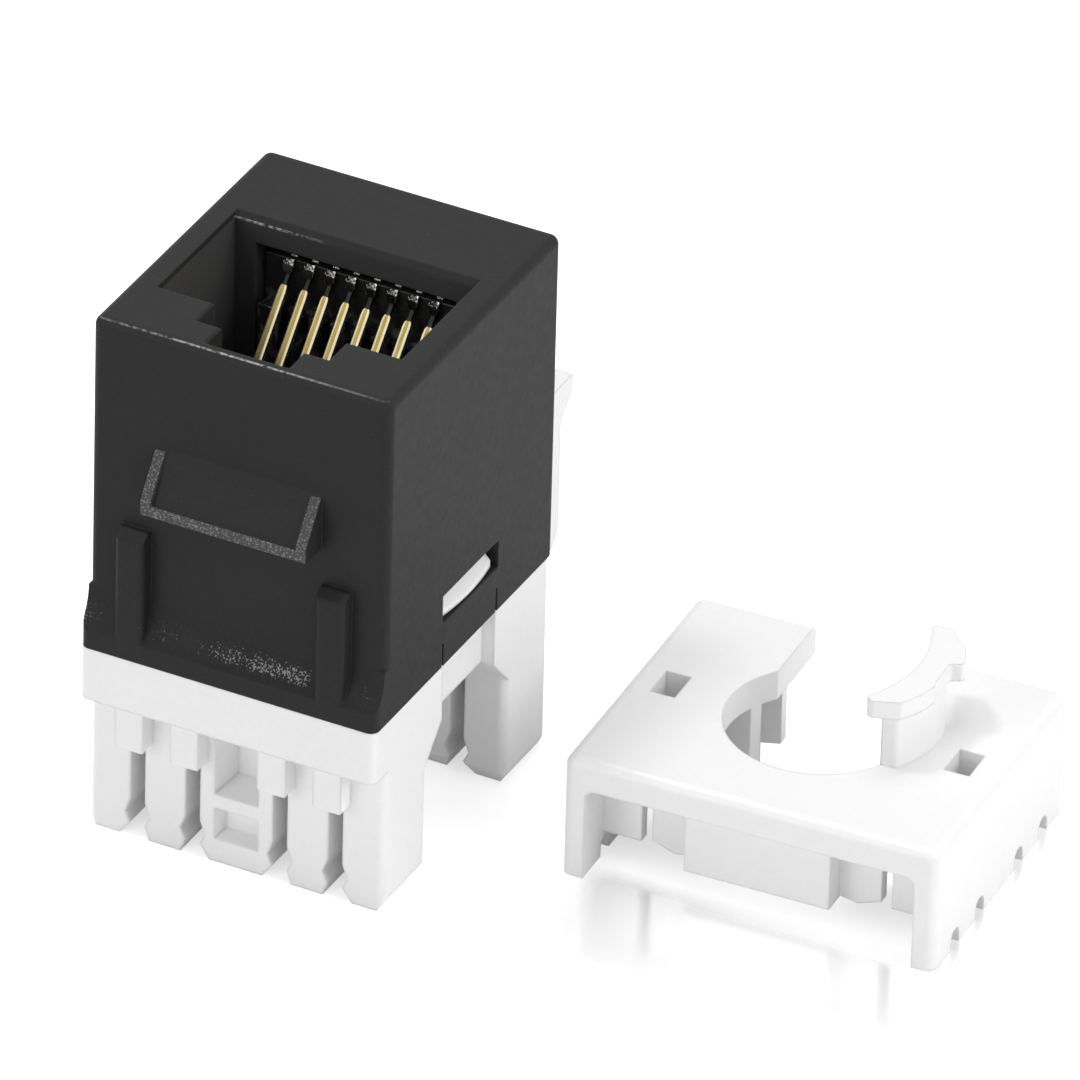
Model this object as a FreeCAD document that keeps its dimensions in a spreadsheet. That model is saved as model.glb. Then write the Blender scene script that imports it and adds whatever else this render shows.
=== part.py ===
# Keystone jack with eight spring contacts, a wire termination block and its loose cap.
# Millimetres. The jack stands on its termination towers with the plug port facing up.
# Origin: centre of the tower tips. +Z runs out of the port, -Y is the side of the fixed hook,
# +Y the side of the flexible latch. The cap lies beside the jack, on the same level.

import FreeCAD, Part
import math
import os
from types import SimpleNamespace

import Sketcher

doc = FreeCAD.newDocument("keystone_jack")

# Driving sizes: name, value in mm (angles in degrees), meaning

SIZES = [
    ("fit_gap", 0.1, "clearance between moulded pieces that fit together"),
    ("wire_gap", 0.05, "clearance round a contact wire"),
    ("overlap", 0.2, "short overlap of a feature with the solid that it joins or cuts"),
    ("embed", 0.5, "how far a pad starts inside the solid that it grows from"),
    ("overrun", 1.0, "how far a cut runs past the solid"),
    # outside of the jack
    ("jack_width", 14.5, "width along X"),
    ("jack_depth", 16.0, "depth of the housing along Y"),
    ("face_height", 26.3, "front face above the tower tips"),
    ("housing_foot", 9.85, "lower rim of the housing above the tower tips"),
    ("housing_round", 0.45, "rounding of the outer edges of the housing"),
    ("lip_reach", 0.8, "how far the bottom lip stands out on the hook side"),
    ("lip_height", 0.9, "upright part of the bottom lip"),
    ("lip_sweep", 2.6, "radius of the hollow that runs the lip into the wall"),
    # plug port
    ("port_width", 11.9, "width of the plug port"),
    ("port_contact_side", 2.6, "contact wall of the port, from the jack's axis"),
    ("port_latch_side", 4.4, "latch wall of the port, from the jack's axis"),
    ("port_floor", 13.5, "bottom of the port above the tower tips"),
    ("keyway_width", 6.4, "width of the latch keyway"),
    ("keyway_side", 6.0, "bottom of the keyway, from the jack's axis"),
    ("tab_way_width", 4.0, "width of the groove for the latch tab"),
    ("tab_way_side", 7.4, "bottom of the tab groove, from the jack's axis"),
    ("face_ledge", 1.6, "thickness of the ledge that the plug's latch catches behind"),
    ("mouth_chamfer", 0.29, "chamfer on the contact edge of the mouth"),
    ("mouth_break", 0.12, "chamfer on the other edges of the mouth"),
    # room for the contact carrier
    ("insert_width", 9.8, "width of the carrier's bay"),
    ("insert_back", 4.15, "back wall of the carrier's bay, from the jack's axis"),
    ("mouth_wall", 1.3, "height of the contact wall above the carrier's bay"),
    ("chamber_width", 12.7, "width of the lower chamber"),
    ("chamber_depth", 13.8, "depth of the lower chamber"),
    # snap windows in the housing's sides
    ("window_length", 5.2, "length of a snap window along Y"),
    ("window_foot", 12.1, "top of the strap under a snap window"),
    ("window_head", 13.5, "upper edge of a snap window"),
    ("slit_width", 0.16, "width of the slits beside the strap"),
    ("slit_height", 1.2, "height of the slits beside the strap"),
    # fixed hook and ribs on the -Y face
    ("hook_width", 8.1, "width of the fixed hook"),
    ("hook_ledge", 18.0, "ledge of the hook above the tower tips"),
    ("hook_top", 20.7, "top of the hook above the tower tips"),
    ("hook_reach", 1.4, "how far the hook's ledge stands out"),
    ("hook_edge", 0.75, "upright edge of the hook above its ledge"),
    ("hook_rim", 0.6, "width of the hook's raised rim"),
    ("hook_dish", 0.12, "depth of the field inside the rim, at its lower end"),
    ("rib_spacing", 9.8, "distance between the two panel ribs"),
    ("rib_width", 1.4, "width of a panel rib"),
    ("rib_round", 0.25, "rounding of a panel rib's front edges"),
    ("rib_top", 16.3, "top of a panel rib above the tower tips"),
    ("rib_slope", 0.35, "height of the slope at a rib's top"),
    # termination block
    ("tower_face", 7.7, "outer faces of the towers, from the jack's axis"),
    ("tower_inside", 3.7, "inner faces of the towers, from the jack's axis"),
    ("skirt_foot", 7.2, "lower edge of the skirt above the tower tips"),
    ("deck_underside", 7.1, "roof of the wire channel above the tower tips"),
    ("arch_run", 1.3, "width of the slope in the channel's upper corner"),
    ("arch_rise", 1.4, "height of the slope in the channel's upper corner"),
    ("tip_run", 0.3, "width of the chamfer at the tower tips"),
    ("tip_rise", 0.6, "height of the chamfer at the tower tips"),
    ("block_round", 0.4, "rounding of the block's upright edges"),
    ("apron_depth", 0.6, "depth of the hollow in each side of the block"),
    ("apron_length", 4.9, "length of that hollow along Y"),
    ("slot_inner", 2.15, "inner wire slots, from the jack's axis"),
    ("slot_outer", 4.87, "outer wire slots, from the jack's axis"),
    ("slot_width", 0.72, "width of a wire slot"),
    ("slot_top", 6.9, "closed end of a wire slot above the tower tips"),
    ("notch_depth", 0.25, "depth of the widening near a slot's mouth"),
    ("notch_top", 1.9, "top of that widening"),
    ("notch_peak", 1.2, "height of its widest point"),
    ("nose_height", 0.68, "where the lead-in of a slot starts"),
    ("lead_wide", 0.5, "lead-in on the broad towers"),
    ("lead_small", 0.22, "lead-in on the narrow towers"),
    ("tongue_width", 1.4, "width of the tongue over each slot"),
    ("tongue_foot", 4.9, "lower end of a tongue above the tower tips"),
    ("tongue_reach", 0.9, "how far a tongue stands out of the towers"),
    ("tongue_round", 0.33, "rounding of a tongue's lower edges"),
    ("slot_past", 0.02, "how far a wire slot's cut runs past the tower faces"),
    ("bay_width", 2.16, "width of the hollows in the middle tower"),
    ("bay_depth", 1.5, "depth of the hollows in the middle tower"),
    ("bay_foot", 3.5, "lower edge of the upper hollow"),
    ("bay_head", 7.0, "upper edge of the upper hollow"),
    ("small_bay_foot", 1.2, "lower edge of the lower hollow"),
    ("small_bay_head", 2.8, "upper edge of the lower hollow"),
    ("bay_draft", 14.0, "draft of the hollows' walls, degrees"),
    ("seat_height", 1.05, "height of the seat for the circuit board"),
    ("arm_inside", 5.6, "inner faces of the snap arms, from the jack's axis"),
    ("arm_outside", 6.25, "outer faces of the snap arms, from the jack's axis"),
    ("arm_length", 4.6, "length of a snap arm along Y"),
    ("arm_gap", 0.15, "gap beside a snap arm"),
    ("nub_reach", 0.95, "how far a snap nub stands out of its arm"),
    ("nub_bow", 0.18, "how much the nub's edge bows outwards"),
    ("nub_edge", 0.15, "upright edge of a snap nub"),
    # circuit board and carrier
    ("board_thick", 1.0, "thickness of the circuit board"),
    ("board_gap", 0.3, "gap between the circuit board's ends and the chamber"),
    ("hole_wide", 0.9, "holes of the blade tails"),
    ("hole_small", 0.6, "holes of the contact tails"),
    ("comb_drop", 2.3, "comb teeth end this far below the nose's top"),
    ("groove_width", 0.52, "width of a comb groove"),
    # contacts
    ("pitch", 1.016, "distance between contacts"),
    ("wire_width", 0.36, "width of a contact wire"),
    ("wire_thick", 0.3, "thickness of a contact wire"),
    ("nose_drop", 0.8, "nose that the wires bend over, below the bay's ceiling"),
    ("nose_middle", 3.5, "middle of that nose, from the jack's axis"),
    ("hairpin_radius", 0.35, "bend radius over the nose, at the wire's middle"),
    ("pivot_drop", 0.7, "a spring contact starts this far below the nose's top"),
    ("spring_length", 7.0, "length of a spring contact"),
    ("spring_lean_angle", 42.8, "lean of a spring contact from upright, degrees"),
    # insulation displacement blades
    ("blade_width", 1.9, "width of a blade"),
    ("blade_thick", 0.4, "thickness of a blade"),
    ("blade_tip", 2.6, "blade tips above the tower tips"),
    ("blade_slit", 0.3, "width of the slit that grips a wire"),
    ("blade_slit_top", 6.6, "closed end of the slit"),
    ("blade_corner", 0.4, "bevel at a blade's outer corners"),
    ("blade_land", 0.2, "flat of a blade's tip beside the slit"),
    ("blade_lead", 0.7, "height of the slit's lead-in"),
    ("blade_seat", 0.3, "blade's shoulder below the circuit board"),
    ("tail_width", 0.6, "width of a blade's tail"),
    # flexible latch
    ("latch_width", 11.0, "width of the latch at its shoulders"),
    ("latch_thick", 1.2, "thickness of the latch"),
    ("latch_reach", 11.9, "outer face of the latch, from the jack's axis"),
    ("latch_foot", 7.4, "underside of the latch's root"),
    ("latch_bend", 1.3, "outer radius at the latch's elbow"),
    ("shoulder_reach", 1.05, "how far the shoulders stand out"),
    ("shoulder_ramp", 13.9, "start of the shoulders' ramp"),
    ("shoulder_low", 15.0, "end of the shoulders' ramp"),
    ("shoulder_top", 15.8, "ledge of the shoulders"),
    ("tongue_plate", 6.0, "width of the latch's tongue"),
    ("catch_ledge", 17.9, "ledge of the catch"),
    ("catch_flat", 0.4, "height of the catch's flat edge"),
    ("tongue_top", 20.3, "top of the latch's tongue"),
    ("tongue_bevel", 0.3, "bevel at the top of the latch's tongue"),
    # loose cap
    ("cap_height", 6.1, "height of the cap without its tie post"),
    ("cap_plate", 1.5, "thickness of the cap's plate"),
    ("cap_wall", 1.05, "thickness of the cap's end walls"),
    ("cap_round", 0.5, "rounding of the cap's outer edges"),
    ("cap_inner_round", 0.45, "rounding under the cap's plate"),
    ("cable_radius", 4.25, "radius of the cable passage"),
    ("cable_offset", 0.25, "cable passage from the middle of the cap, towards the open side"),
    ("cable_gate", 6.4, "width of the passage's open side"),
    ("core_width", 6.9, "width of the core under the plate"),
    ("core_inset", 1.0, "core's flat front behind the cap's edge"),
    ("core_lift", 1.1, "core's lower end above the cap's feet"),
    ("stuffer_thick", 0.56, "thickness of a stuffer rib"),
    ("stuffer_start", 3.6, "inner end of the far stuffers, from the cap's middle"),
    ("stuffer_lift", 1.25, "stuffer's lower end above the cap's feet"),
    ("stuffer_dip", 0.2, "how far a stuffer's point hangs lower than its sides"),
    ("stuffer_slit", 0.5, "gap in a stuffer for the blade"),
    ("eye_width", 1.2, "width of the square holes in the plate"),
    ("eye_length", 1.8, "length of the square holes in the plate"),
    ("eye_spacing", 14.0, "distance between the square holes"),
    ("foot_notch", 0.9, "height of the notches in the cap's walls"),
    ("foot_notch_width", 0.9, "width of the notches in the cap's walls"),
    ("post_height", 2.55, "height of the tie post above the plate"),
    ("post_inner", 4.25, "inner radius of the tie post"),
    ("post_near", 2.0, "near end of the tie post, from the passage's middle"),
    ("post_far", 1.86, "far end of the tie post, from the passage's middle"),
    ("post_bow", 4.97, "radius of the tie post's outer side"),
    ("post_bow_across", 0.35, "middle of that radius, from the passage's middle"),
    ("post_bow_along", 0.75, "the same towards the open side"),
    ("post_round", 0.3, "rounding of the tie post's outer corners"),
    ("head_thick", 0.9, "thickness of the tie post's head"),
    ("head_bow", 6.1, "radius of the head's hollow side"),
    ("head_bow_across", 2.0, "middle of that radius, from the passage's middle"),
    ("head_bow_along", 1.3, "the same towards the open side"),
    ("head_start", -35.0, "start of the hollow side, degrees"),
    ("head_end", 29.0, "end of the hollow side, degrees"),
    ("head_round", 0.2, "rounding of the head's corners"),
    ("cap_rest_x", 21.0, "middle of the loose cap along X"),
    ("cap_rest_y", 6.6, "middle of the loose cap along Y"),
    ("cap_turn", 3.0, "turn of the loose cap about Z, degrees"),
]


class Size:
    """A length that carries its value and the sheet formula behind it."""

    def __init__(self, formula, value):
        self.formula = formula
        self.value = value

    def joined(self, sign, other, value):
        return Size(f"({self.formula} {sign} {other.formula})", value)

    def __add__(self, other):
        other = as_size(other)
        return self.joined("+", other, self.value + other.value)

    def __sub__(self, other):
        other = as_size(other)
        return self.joined("-", other, self.value - other.value)

    def __mul__(self, other):
        other = as_size(other)
        return self.joined("*", other, self.value * other.value)

    def __truediv__(self, other):
        other = as_size(other)
        return self.joined("/", other, self.value / other.value)

    def __neg__(self):
        return self * -1

    __radd__ = __add__

    def __rsub__(self, other):
        return as_size(other) - self

    __rmul__ = __mul__


def as_size(number):
    if isinstance(number, Size):
        return number
    return Size(f"({float(number)})", float(number))


def sine(angle):
    return Size(f"sin({angle.formula} * 1 deg)", math.sin(math.radians(angle.value)))


def cosine(angle):
    return Size(f"cos({angle.formula} * 1 deg)", math.cos(math.radians(angle.value)))


def root(area):
    return Size(f"sqrt({area.formula})", math.sqrt(area.value))


def fill_sheet():
    sheet = doc.addObject("Spreadsheet::Sheet", "sizes")
    named = {}
    for row, (alias, value, meaning) in enumerate(SIZES, start=1):
        sheet.set(f"A{row}", alias)
        sheet.set(f"B{row}", str(value))
        sheet.setAlias(f"B{row}", alias)
        sheet.set(f"C{row}", meaning)
        named[alias] = Size(f"sizes.{alias}", value)
    doc.recompute()
    return SimpleNamespace(**named)


dim = fill_sheet()


# Helpers for bodies, sketches and features

NORMAL_SIGN = {"XY": 1, "XZ": -1, "YZ": 1}


def bind(thing, path, size):
    thing.setExpression(path, as_size(size).formula)


def new_body(label):
    body = doc.addObject("PartDesign::Body", label)
    body.Label = label
    return body


def place(body, across=0, along=0, up=0):
    bind(body, "Placement.Base.x", across)
    bind(body, "Placement.Base.y", along)
    bind(body, "Placement.Base.z", up)


def turn(body, axis, angle):
    body.Placement.Rotation = FreeCAD.Rotation(axis, 1)
    bind(body, "Placement.Rotation.Angle", angle)


def sketch_on(body, name, plane, height=0):
    """A sketch on one of the body's own planes, moved along the row's axis by height."""
    sketch = body.newObject("Sketcher::SketchObject", name)
    role = plane + "_Plane"
    support = next(each for each in body.Origin.OriginFeatures if each.Role == role)
    sketch.AttachmentSupport = [(support, "")]
    sketch.MapMode = "FlatFace"
    bind(sketch, "AttachmentOffset.Base.z", as_size(height) * NORMAL_SIGN[plane])
    return sketch


def pin_length(sketch, kind, geometry, corner, size):
    """Ties one sketch point to an axis of the sketch; a plain zero puts it on that axis."""
    if not isinstance(size, Size) and size == 0:
        axis = -2 if kind == "DistanceX" else -1
        sketch.addConstraint(Sketcher.Constraint("PointOnObject", geometry, corner, axis))
        return
    size = as_size(size)
    index = sketch.addConstraint(
        Sketcher.Constraint(kind, -1, 1, geometry, corner, size.value))
    bind(sketch, f"Constraints[{index}]", size)


def pin_point(sketch, geometry, corner, across, up):
    pin_length(sketch, "DistanceX", geometry, corner, across)
    pin_length(sketch, "DistanceY", geometry, corner, up)


def add_arc(sketch, start, end, across, up, direction):
    """An arc between two points. Its centre is tied in the one way that the ends leave free."""
    centre = FreeCAD.Vector(as_size(across).value, as_size(up).value, 0)
    turned = [math.atan2(p.y - centre.y, p.x - centre.x) for p in (start, end)]
    circle = Part.Circle(centre, FreeCAD.Vector(0, 0, 1), start.distanceToPoint(centre))
    first, last = (1, 2) if direction > 0 else (2, 1)
    index = sketch.addGeometry(Part.ArcOfCircle(circle, turned[first - 1], turned[last - 1]))
    chord = end - start
    if abs(chord.y) > abs(chord.x):
        pin_length(sketch, "DistanceX", index, 3, across)
    else:
        pin_length(sketch, "DistanceY", index, 3, up)
    return index, first, last


def outline(sketch, corners, bends=None):
    """A closed outline. bends maps a corner's number to the (centre across, centre up,
    direction) of the arc that follows it; direction is 1 counter-clockwise, else -1."""
    bends = bends or {}
    points = [FreeCAD.Vector(as_size(a).value, as_size(b).value, 0) for a, b in corners]
    sides = []
    for number, start in enumerate(points):
        end = points[(number + 1) % len(points)]
        if number in bends:
            sides.append(add_arc(sketch, start, end, *bends[number]))
        else:
            sides.append((sketch.addGeometry(Part.LineSegment(start, end)), 1, 2))
    for number, (index, first, last) in enumerate(sides):
        after, start, end = sides[(number + 1) % len(sides)]
        sketch.addConstraint(Sketcher.Constraint("Coincident", index, last, after, start))
        pin_point(sketch, index, first, *corners[number])


def rectangle(sketch, left, low, right, high):
    outline(sketch, [(left, low), (right, low), (right, high), (left, high)])


def circle(sketch, across, up, radius):
    centre = FreeCAD.Vector(as_size(across).value, as_size(up).value, 0)
    normal = FreeCAD.Vector(0, 0, 1)
    index = sketch.addGeometry(Part.Circle(centre, normal, as_size(radius).value))
    mark = sketch.addConstraint(Sketcher.Constraint("Radius", index, as_size(radius).value))
    bind(sketch, f"Constraints[{mark}]", radius)
    pin_point(sketch, index, 3, across, up)


def finish_feature(body, feature, grows):
    """Recomputes the feature and checks that it really added or took away material."""
    before = feature.BaseFeature.Shape.Volume if feature.BaseFeature else 0.0
    doc.recompute()
    change = feature.Shape.Volume - before
    if (change > 1e-6) != grows or abs(change) < 1e-6:
        raise RuntimeError(f"{body.Label}: {feature.Name} changed the volume by {change:.6f}")
    return feature


def pad(body, sketch, length, symmetric=False, down=False, taper=0):
    feature = body.newObject("PartDesign::Pad", sketch.Name + "_pad")
    feature.Profile = sketch
    feature.SideType = "Symmetric" if symmetric else "One side"
    feature.Reversed = down
    bind(feature, "Length", length)
    if taper:
        bind(feature, "TaperAngle", taper)
    return finish_feature(body, feature, True)


def pocket(body, sketch, length, symmetric=False, up=False, taper=0):
    """Cuts against the sketch plane's normal, or along it with up."""
    feature = body.newObject("PartDesign::Pocket", sketch.Name + "_cut")
    feature.Profile = sketch
    feature.SideType = "Symmetric" if symmetric else "One side"
    feature.Reversed = up
    bind(feature, "Length", length)
    if taper:
        bind(feature, "TaperAngle", taper)
    return finish_feature(body, feature, False)


def edges_where(feature, wanted):
    return [f"Edge{n}" for n, edge in enumerate(feature.Shape.Edges, start=1) if wanted(edge)]


def dress(body, kind, name, base, wanted, size):
    """A fillet or chamfer on the edges that the test picks."""
    names = edges_where(base, wanted)
    if not names:
        raise RuntimeError(f"{body.Label}: no edge for {name}")
    feature = body.newObject("PartDesign::" + kind, name)
    feature.Base = (base, names)
    bind(feature, "Radius" if kind == "Fillet" else "Size", size)
    doc.recompute()
    return feature


def middle(edge):
    return edge.CenterOfMass


def is_near(number, size, slack=0.02):
    return abs(number - as_size(size).value) < slack


def in_order(first, second):
    """Two sizes, the smaller one first."""
    return sorted((first, second), key=lambda size: size.value)


def runs_along(edge, axis):
    """True for a straight edge along X, Y or Z (axis 0, 1 or 2)."""
    box = edge.BoundBox
    spans = [box.XLength, box.YLength, box.ZLength]
    others = [span for number, span in enumerate(spans) if number != axis]
    return spans[axis] > 1e-3 and max(others) < 1e-4


half_width = dim.jack_width / 2
half_depth = dim.jack_depth / 2
chamber_ceiling = dim.port_floor + dim.fit_gap
bay_ceiling = dim.face_height - dim.mouth_wall
nose_top = bay_ceiling - dim.nose_drop
hook_side = -half_depth
blade_row = (dim.tower_face + dim.tower_inside) / 2
CONTACTS = 8
contact_places = [(place - (CONTACTS - 1) / 2) * dim.pitch for place in range(CONTACTS)]
slot_places = [-dim.slot_outer, -dim.slot_inner, dim.slot_inner, dim.slot_outer]


# Housing

def make_housing():
    body = new_body("housing")
    plan = sketch_on(body, "housing_plan", "XY", dim.housing_foot)
    rectangle(plan, -half_width, -half_depth, half_width, half_depth)
    shell = pad(body, plan, dim.face_height - dim.housing_foot)

    def outer_edge(edge):
        return runs_along(edge, 2) or is_near(middle(edge).z, dim.face_height)
    dress(body, "Fillet", "housing_rounding", shell, outer_edge, dim.housing_round)

    lip = sketch_on(body, "lip_side", "YZ")
    lip_side = hook_side - dim.lip_reach
    lip_top = dim.housing_foot + dim.lip_height
    rest = dim.lip_sweep - dim.lip_reach
    sweep_top = lip_top + root(dim.lip_sweep * dim.lip_sweep - rest * rest)
    outline(lip, [
        (lip_side, dim.housing_foot),
        (hook_side + dim.housing_round, dim.housing_foot),
        (hook_side + dim.housing_round, sweep_top),
        (hook_side, sweep_top),
        (lip_side, lip_top),
    ], {3: (hook_side - dim.lip_sweep, sweep_top, -1)})
    lipped = pad(body, lip, dim.jack_width, symmetric=True)

    def lip_edge(edge):
        return is_near(middle(edge).y, lip_side) and runs_along(edge, 2)
    dress(body, "Fillet", "lip_rounding", lipped, lip_edge, dim.housing_round)

    hook = sketch_on(body, "hook_side", "YZ")
    outline(hook, [
        (hook_side + dim.embed, dim.hook_ledge),
        (hook_side + dim.embed, dim.hook_top),
        (hook_side, dim.hook_top),
        (hook_side - dim.hook_reach, dim.hook_ledge + dim.hook_edge),
        (hook_side - dim.hook_reach, dim.hook_ledge),
    ])
    pad(body, hook, dim.hook_width, symmetric=True)

    field = sketch_on(body, "hook_field", "YZ")
    outline(field, [
        (hook_side, dim.hook_top),
        (hook_side - dim.hook_reach - dim.overrun, dim.hook_top),
        (hook_side - dim.hook_reach - dim.overrun, dim.hook_ledge + dim.hook_rim),
        (hook_side - dim.hook_reach + dim.hook_dish, dim.hook_ledge + dim.hook_rim),
    ])
    pocket(body, field, dim.hook_width - 2 * dim.hook_rim, symmetric=True)

    for hand in (-1, 1):
        rib = sketch_on(body, f"rib_{'left' if hand < 0 else 'right'}", "XZ", hook_side + dim.embed)
        centre = hand * dim.rib_spacing / 2
        rectangle(rib, centre - dim.rib_width / 2, dim.housing_foot + dim.lip_height / 2,
                  centre + dim.rib_width / 2, dim.rib_top)
        pad(body, rib, dim.lip_reach + dim.embed)
    slope = sketch_on(body, "rib_slope", "YZ")
    outline(slope, [
        (hook_side, dim.rib_top + dim.overlap),
        (hook_side - dim.lip_reach - dim.overlap, dim.rib_top + dim.overlap),
        (hook_side - dim.lip_reach - dim.overlap, dim.rib_top - dim.rib_slope),
        (hook_side - dim.lip_reach, dim.rib_top - dim.rib_slope),
    ])
    sloped = pocket(body, slope, dim.jack_width, symmetric=True)

    def rib_edge(edge):
        spot = middle(edge)
        at_front = is_near(spot.y, lip_side)
        flank = abs(abs(spot.x) - dim.rib_spacing.value / 2)
        upright = runs_along(edge, 2) and is_near(flank, dim.rib_width / 2)
        across = runs_along(edge, 0) and is_near(spot.z, dim.rib_top - dim.rib_slope)
        return at_front and (upright or across)
    dress(body, "Fillet", "rib_rounding", sloped, rib_edge, dim.rib_round)

    port = sketch_on(body, "port", "XY", dim.face_height)
    right = [
        (dim.tab_way_width / 2, -dim.tab_way_side),
        (dim.tab_way_width / 2, -dim.keyway_side),
        (dim.keyway_width / 2, -dim.keyway_side),
        (dim.keyway_width / 2, -dim.port_latch_side),
        (dim.port_width / 2, -dim.port_latch_side),
        (dim.port_width / 2, dim.port_contact_side),
    ]
    left = [(-across, up) for across, up in reversed(right)]
    outline(port, right + left)
    mouth = pocket(body, port, dim.face_height - chamber_ceiling)

    def contact_edge(edge):
        spot = middle(edge)
        at_wall = is_near(spot.y, dim.port_contact_side)
        return at_wall and is_near(spot.z, dim.face_height) and runs_along(edge, 0)
    chamfered = dress(body, "Chamfer", "contact_chamfer", mouth, contact_edge, dim.mouth_chamfer)

    def latch_edges(edge):
        spot = middle(edge)
        in_port = abs(spot.x) < half_width.value - dim.embed.value
        behind_wall = spot.y > (hook_side + dim.embed).value
        on_latch_side = spot.y < (dim.port_contact_side - dim.port_latch_side).value
        at_face = is_near(spot.z, dim.face_height)
        return in_port and behind_wall and on_latch_side and at_face
    dress(body, "Chamfer", "mouth_chamfers", chamfered, latch_edges, dim.mouth_break)

    catch = sketch_on(body, "latch_room", "XY", dim.face_height - dim.face_ledge)
    rectangle(catch, -dim.keyway_width / 2, -dim.tab_way_side, dim.keyway_width / 2,
              -dim.keyway_side)
    pocket(body, catch, dim.face_height - dim.face_ledge - chamber_ceiling)

    bay = sketch_on(body, "carrier_bay", "XY", bay_ceiling)
    rectangle(bay, -dim.insert_width / 2, dim.port_contact_side - dim.overlap, dim.insert_width / 2,
              dim.insert_back)
    pocket(body, bay, bay_ceiling - chamber_ceiling)

    chamber = sketch_on(body, "chamber", "XY", dim.housing_foot)
    rectangle(chamber, -dim.chamber_width / 2, -dim.chamber_depth / 2, dim.chamber_width / 2,
              dim.chamber_depth / 2)
    pocket(body, chamber, chamber_ceiling - dim.housing_foot, up=True)

    windows = sketch_on(body, "snap_windows", "YZ")
    rectangle(windows, -dim.window_length / 2, dim.window_foot, dim.window_length / 2,
              dim.window_head)
    pocket(body, windows, dim.jack_width + dim.overrun, symmetric=True)
    slits = sketch_on(body, "strap_slits", "YZ")
    for hand in (-1, 1):
        low, high = in_order(hand * (dim.window_length / 2 - dim.slit_width),
                             hand * dim.window_length / 2)
        rectangle(slits, low, dim.housing_foot - dim.overrun, high,
                  dim.housing_foot + dim.slit_height)
    pocket(body, slits, dim.jack_width + dim.overrun, symmetric=True)
    return body


# Termination block

def slot_outline(sketch, centre, hand, outer):
    """One wire slot with its widening and lead-in. The broad tower lies on the side towards
    the jack's axis for an inner slot, and on the outer side for an outer slot."""
    broad = hand if outer else -hand
    half = dim.slot_width / 2

    def edge_of(side):
        lead = dim.lead_wide if side == broad else dim.lead_small
        return [
            (centre + side * half, dim.slot_top),
            (centre + side * half, dim.notch_top),
            (centre + side * (half + dim.notch_depth), dim.notch_peak),
            (centre + side * half, dim.nose_height),
            (centre + side * (half + lead), 0),
            (centre + side * (half + lead), -dim.overrun),
        ]
    outline(sketch, edge_of(-1) + list(reversed(edge_of(1))))


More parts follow.
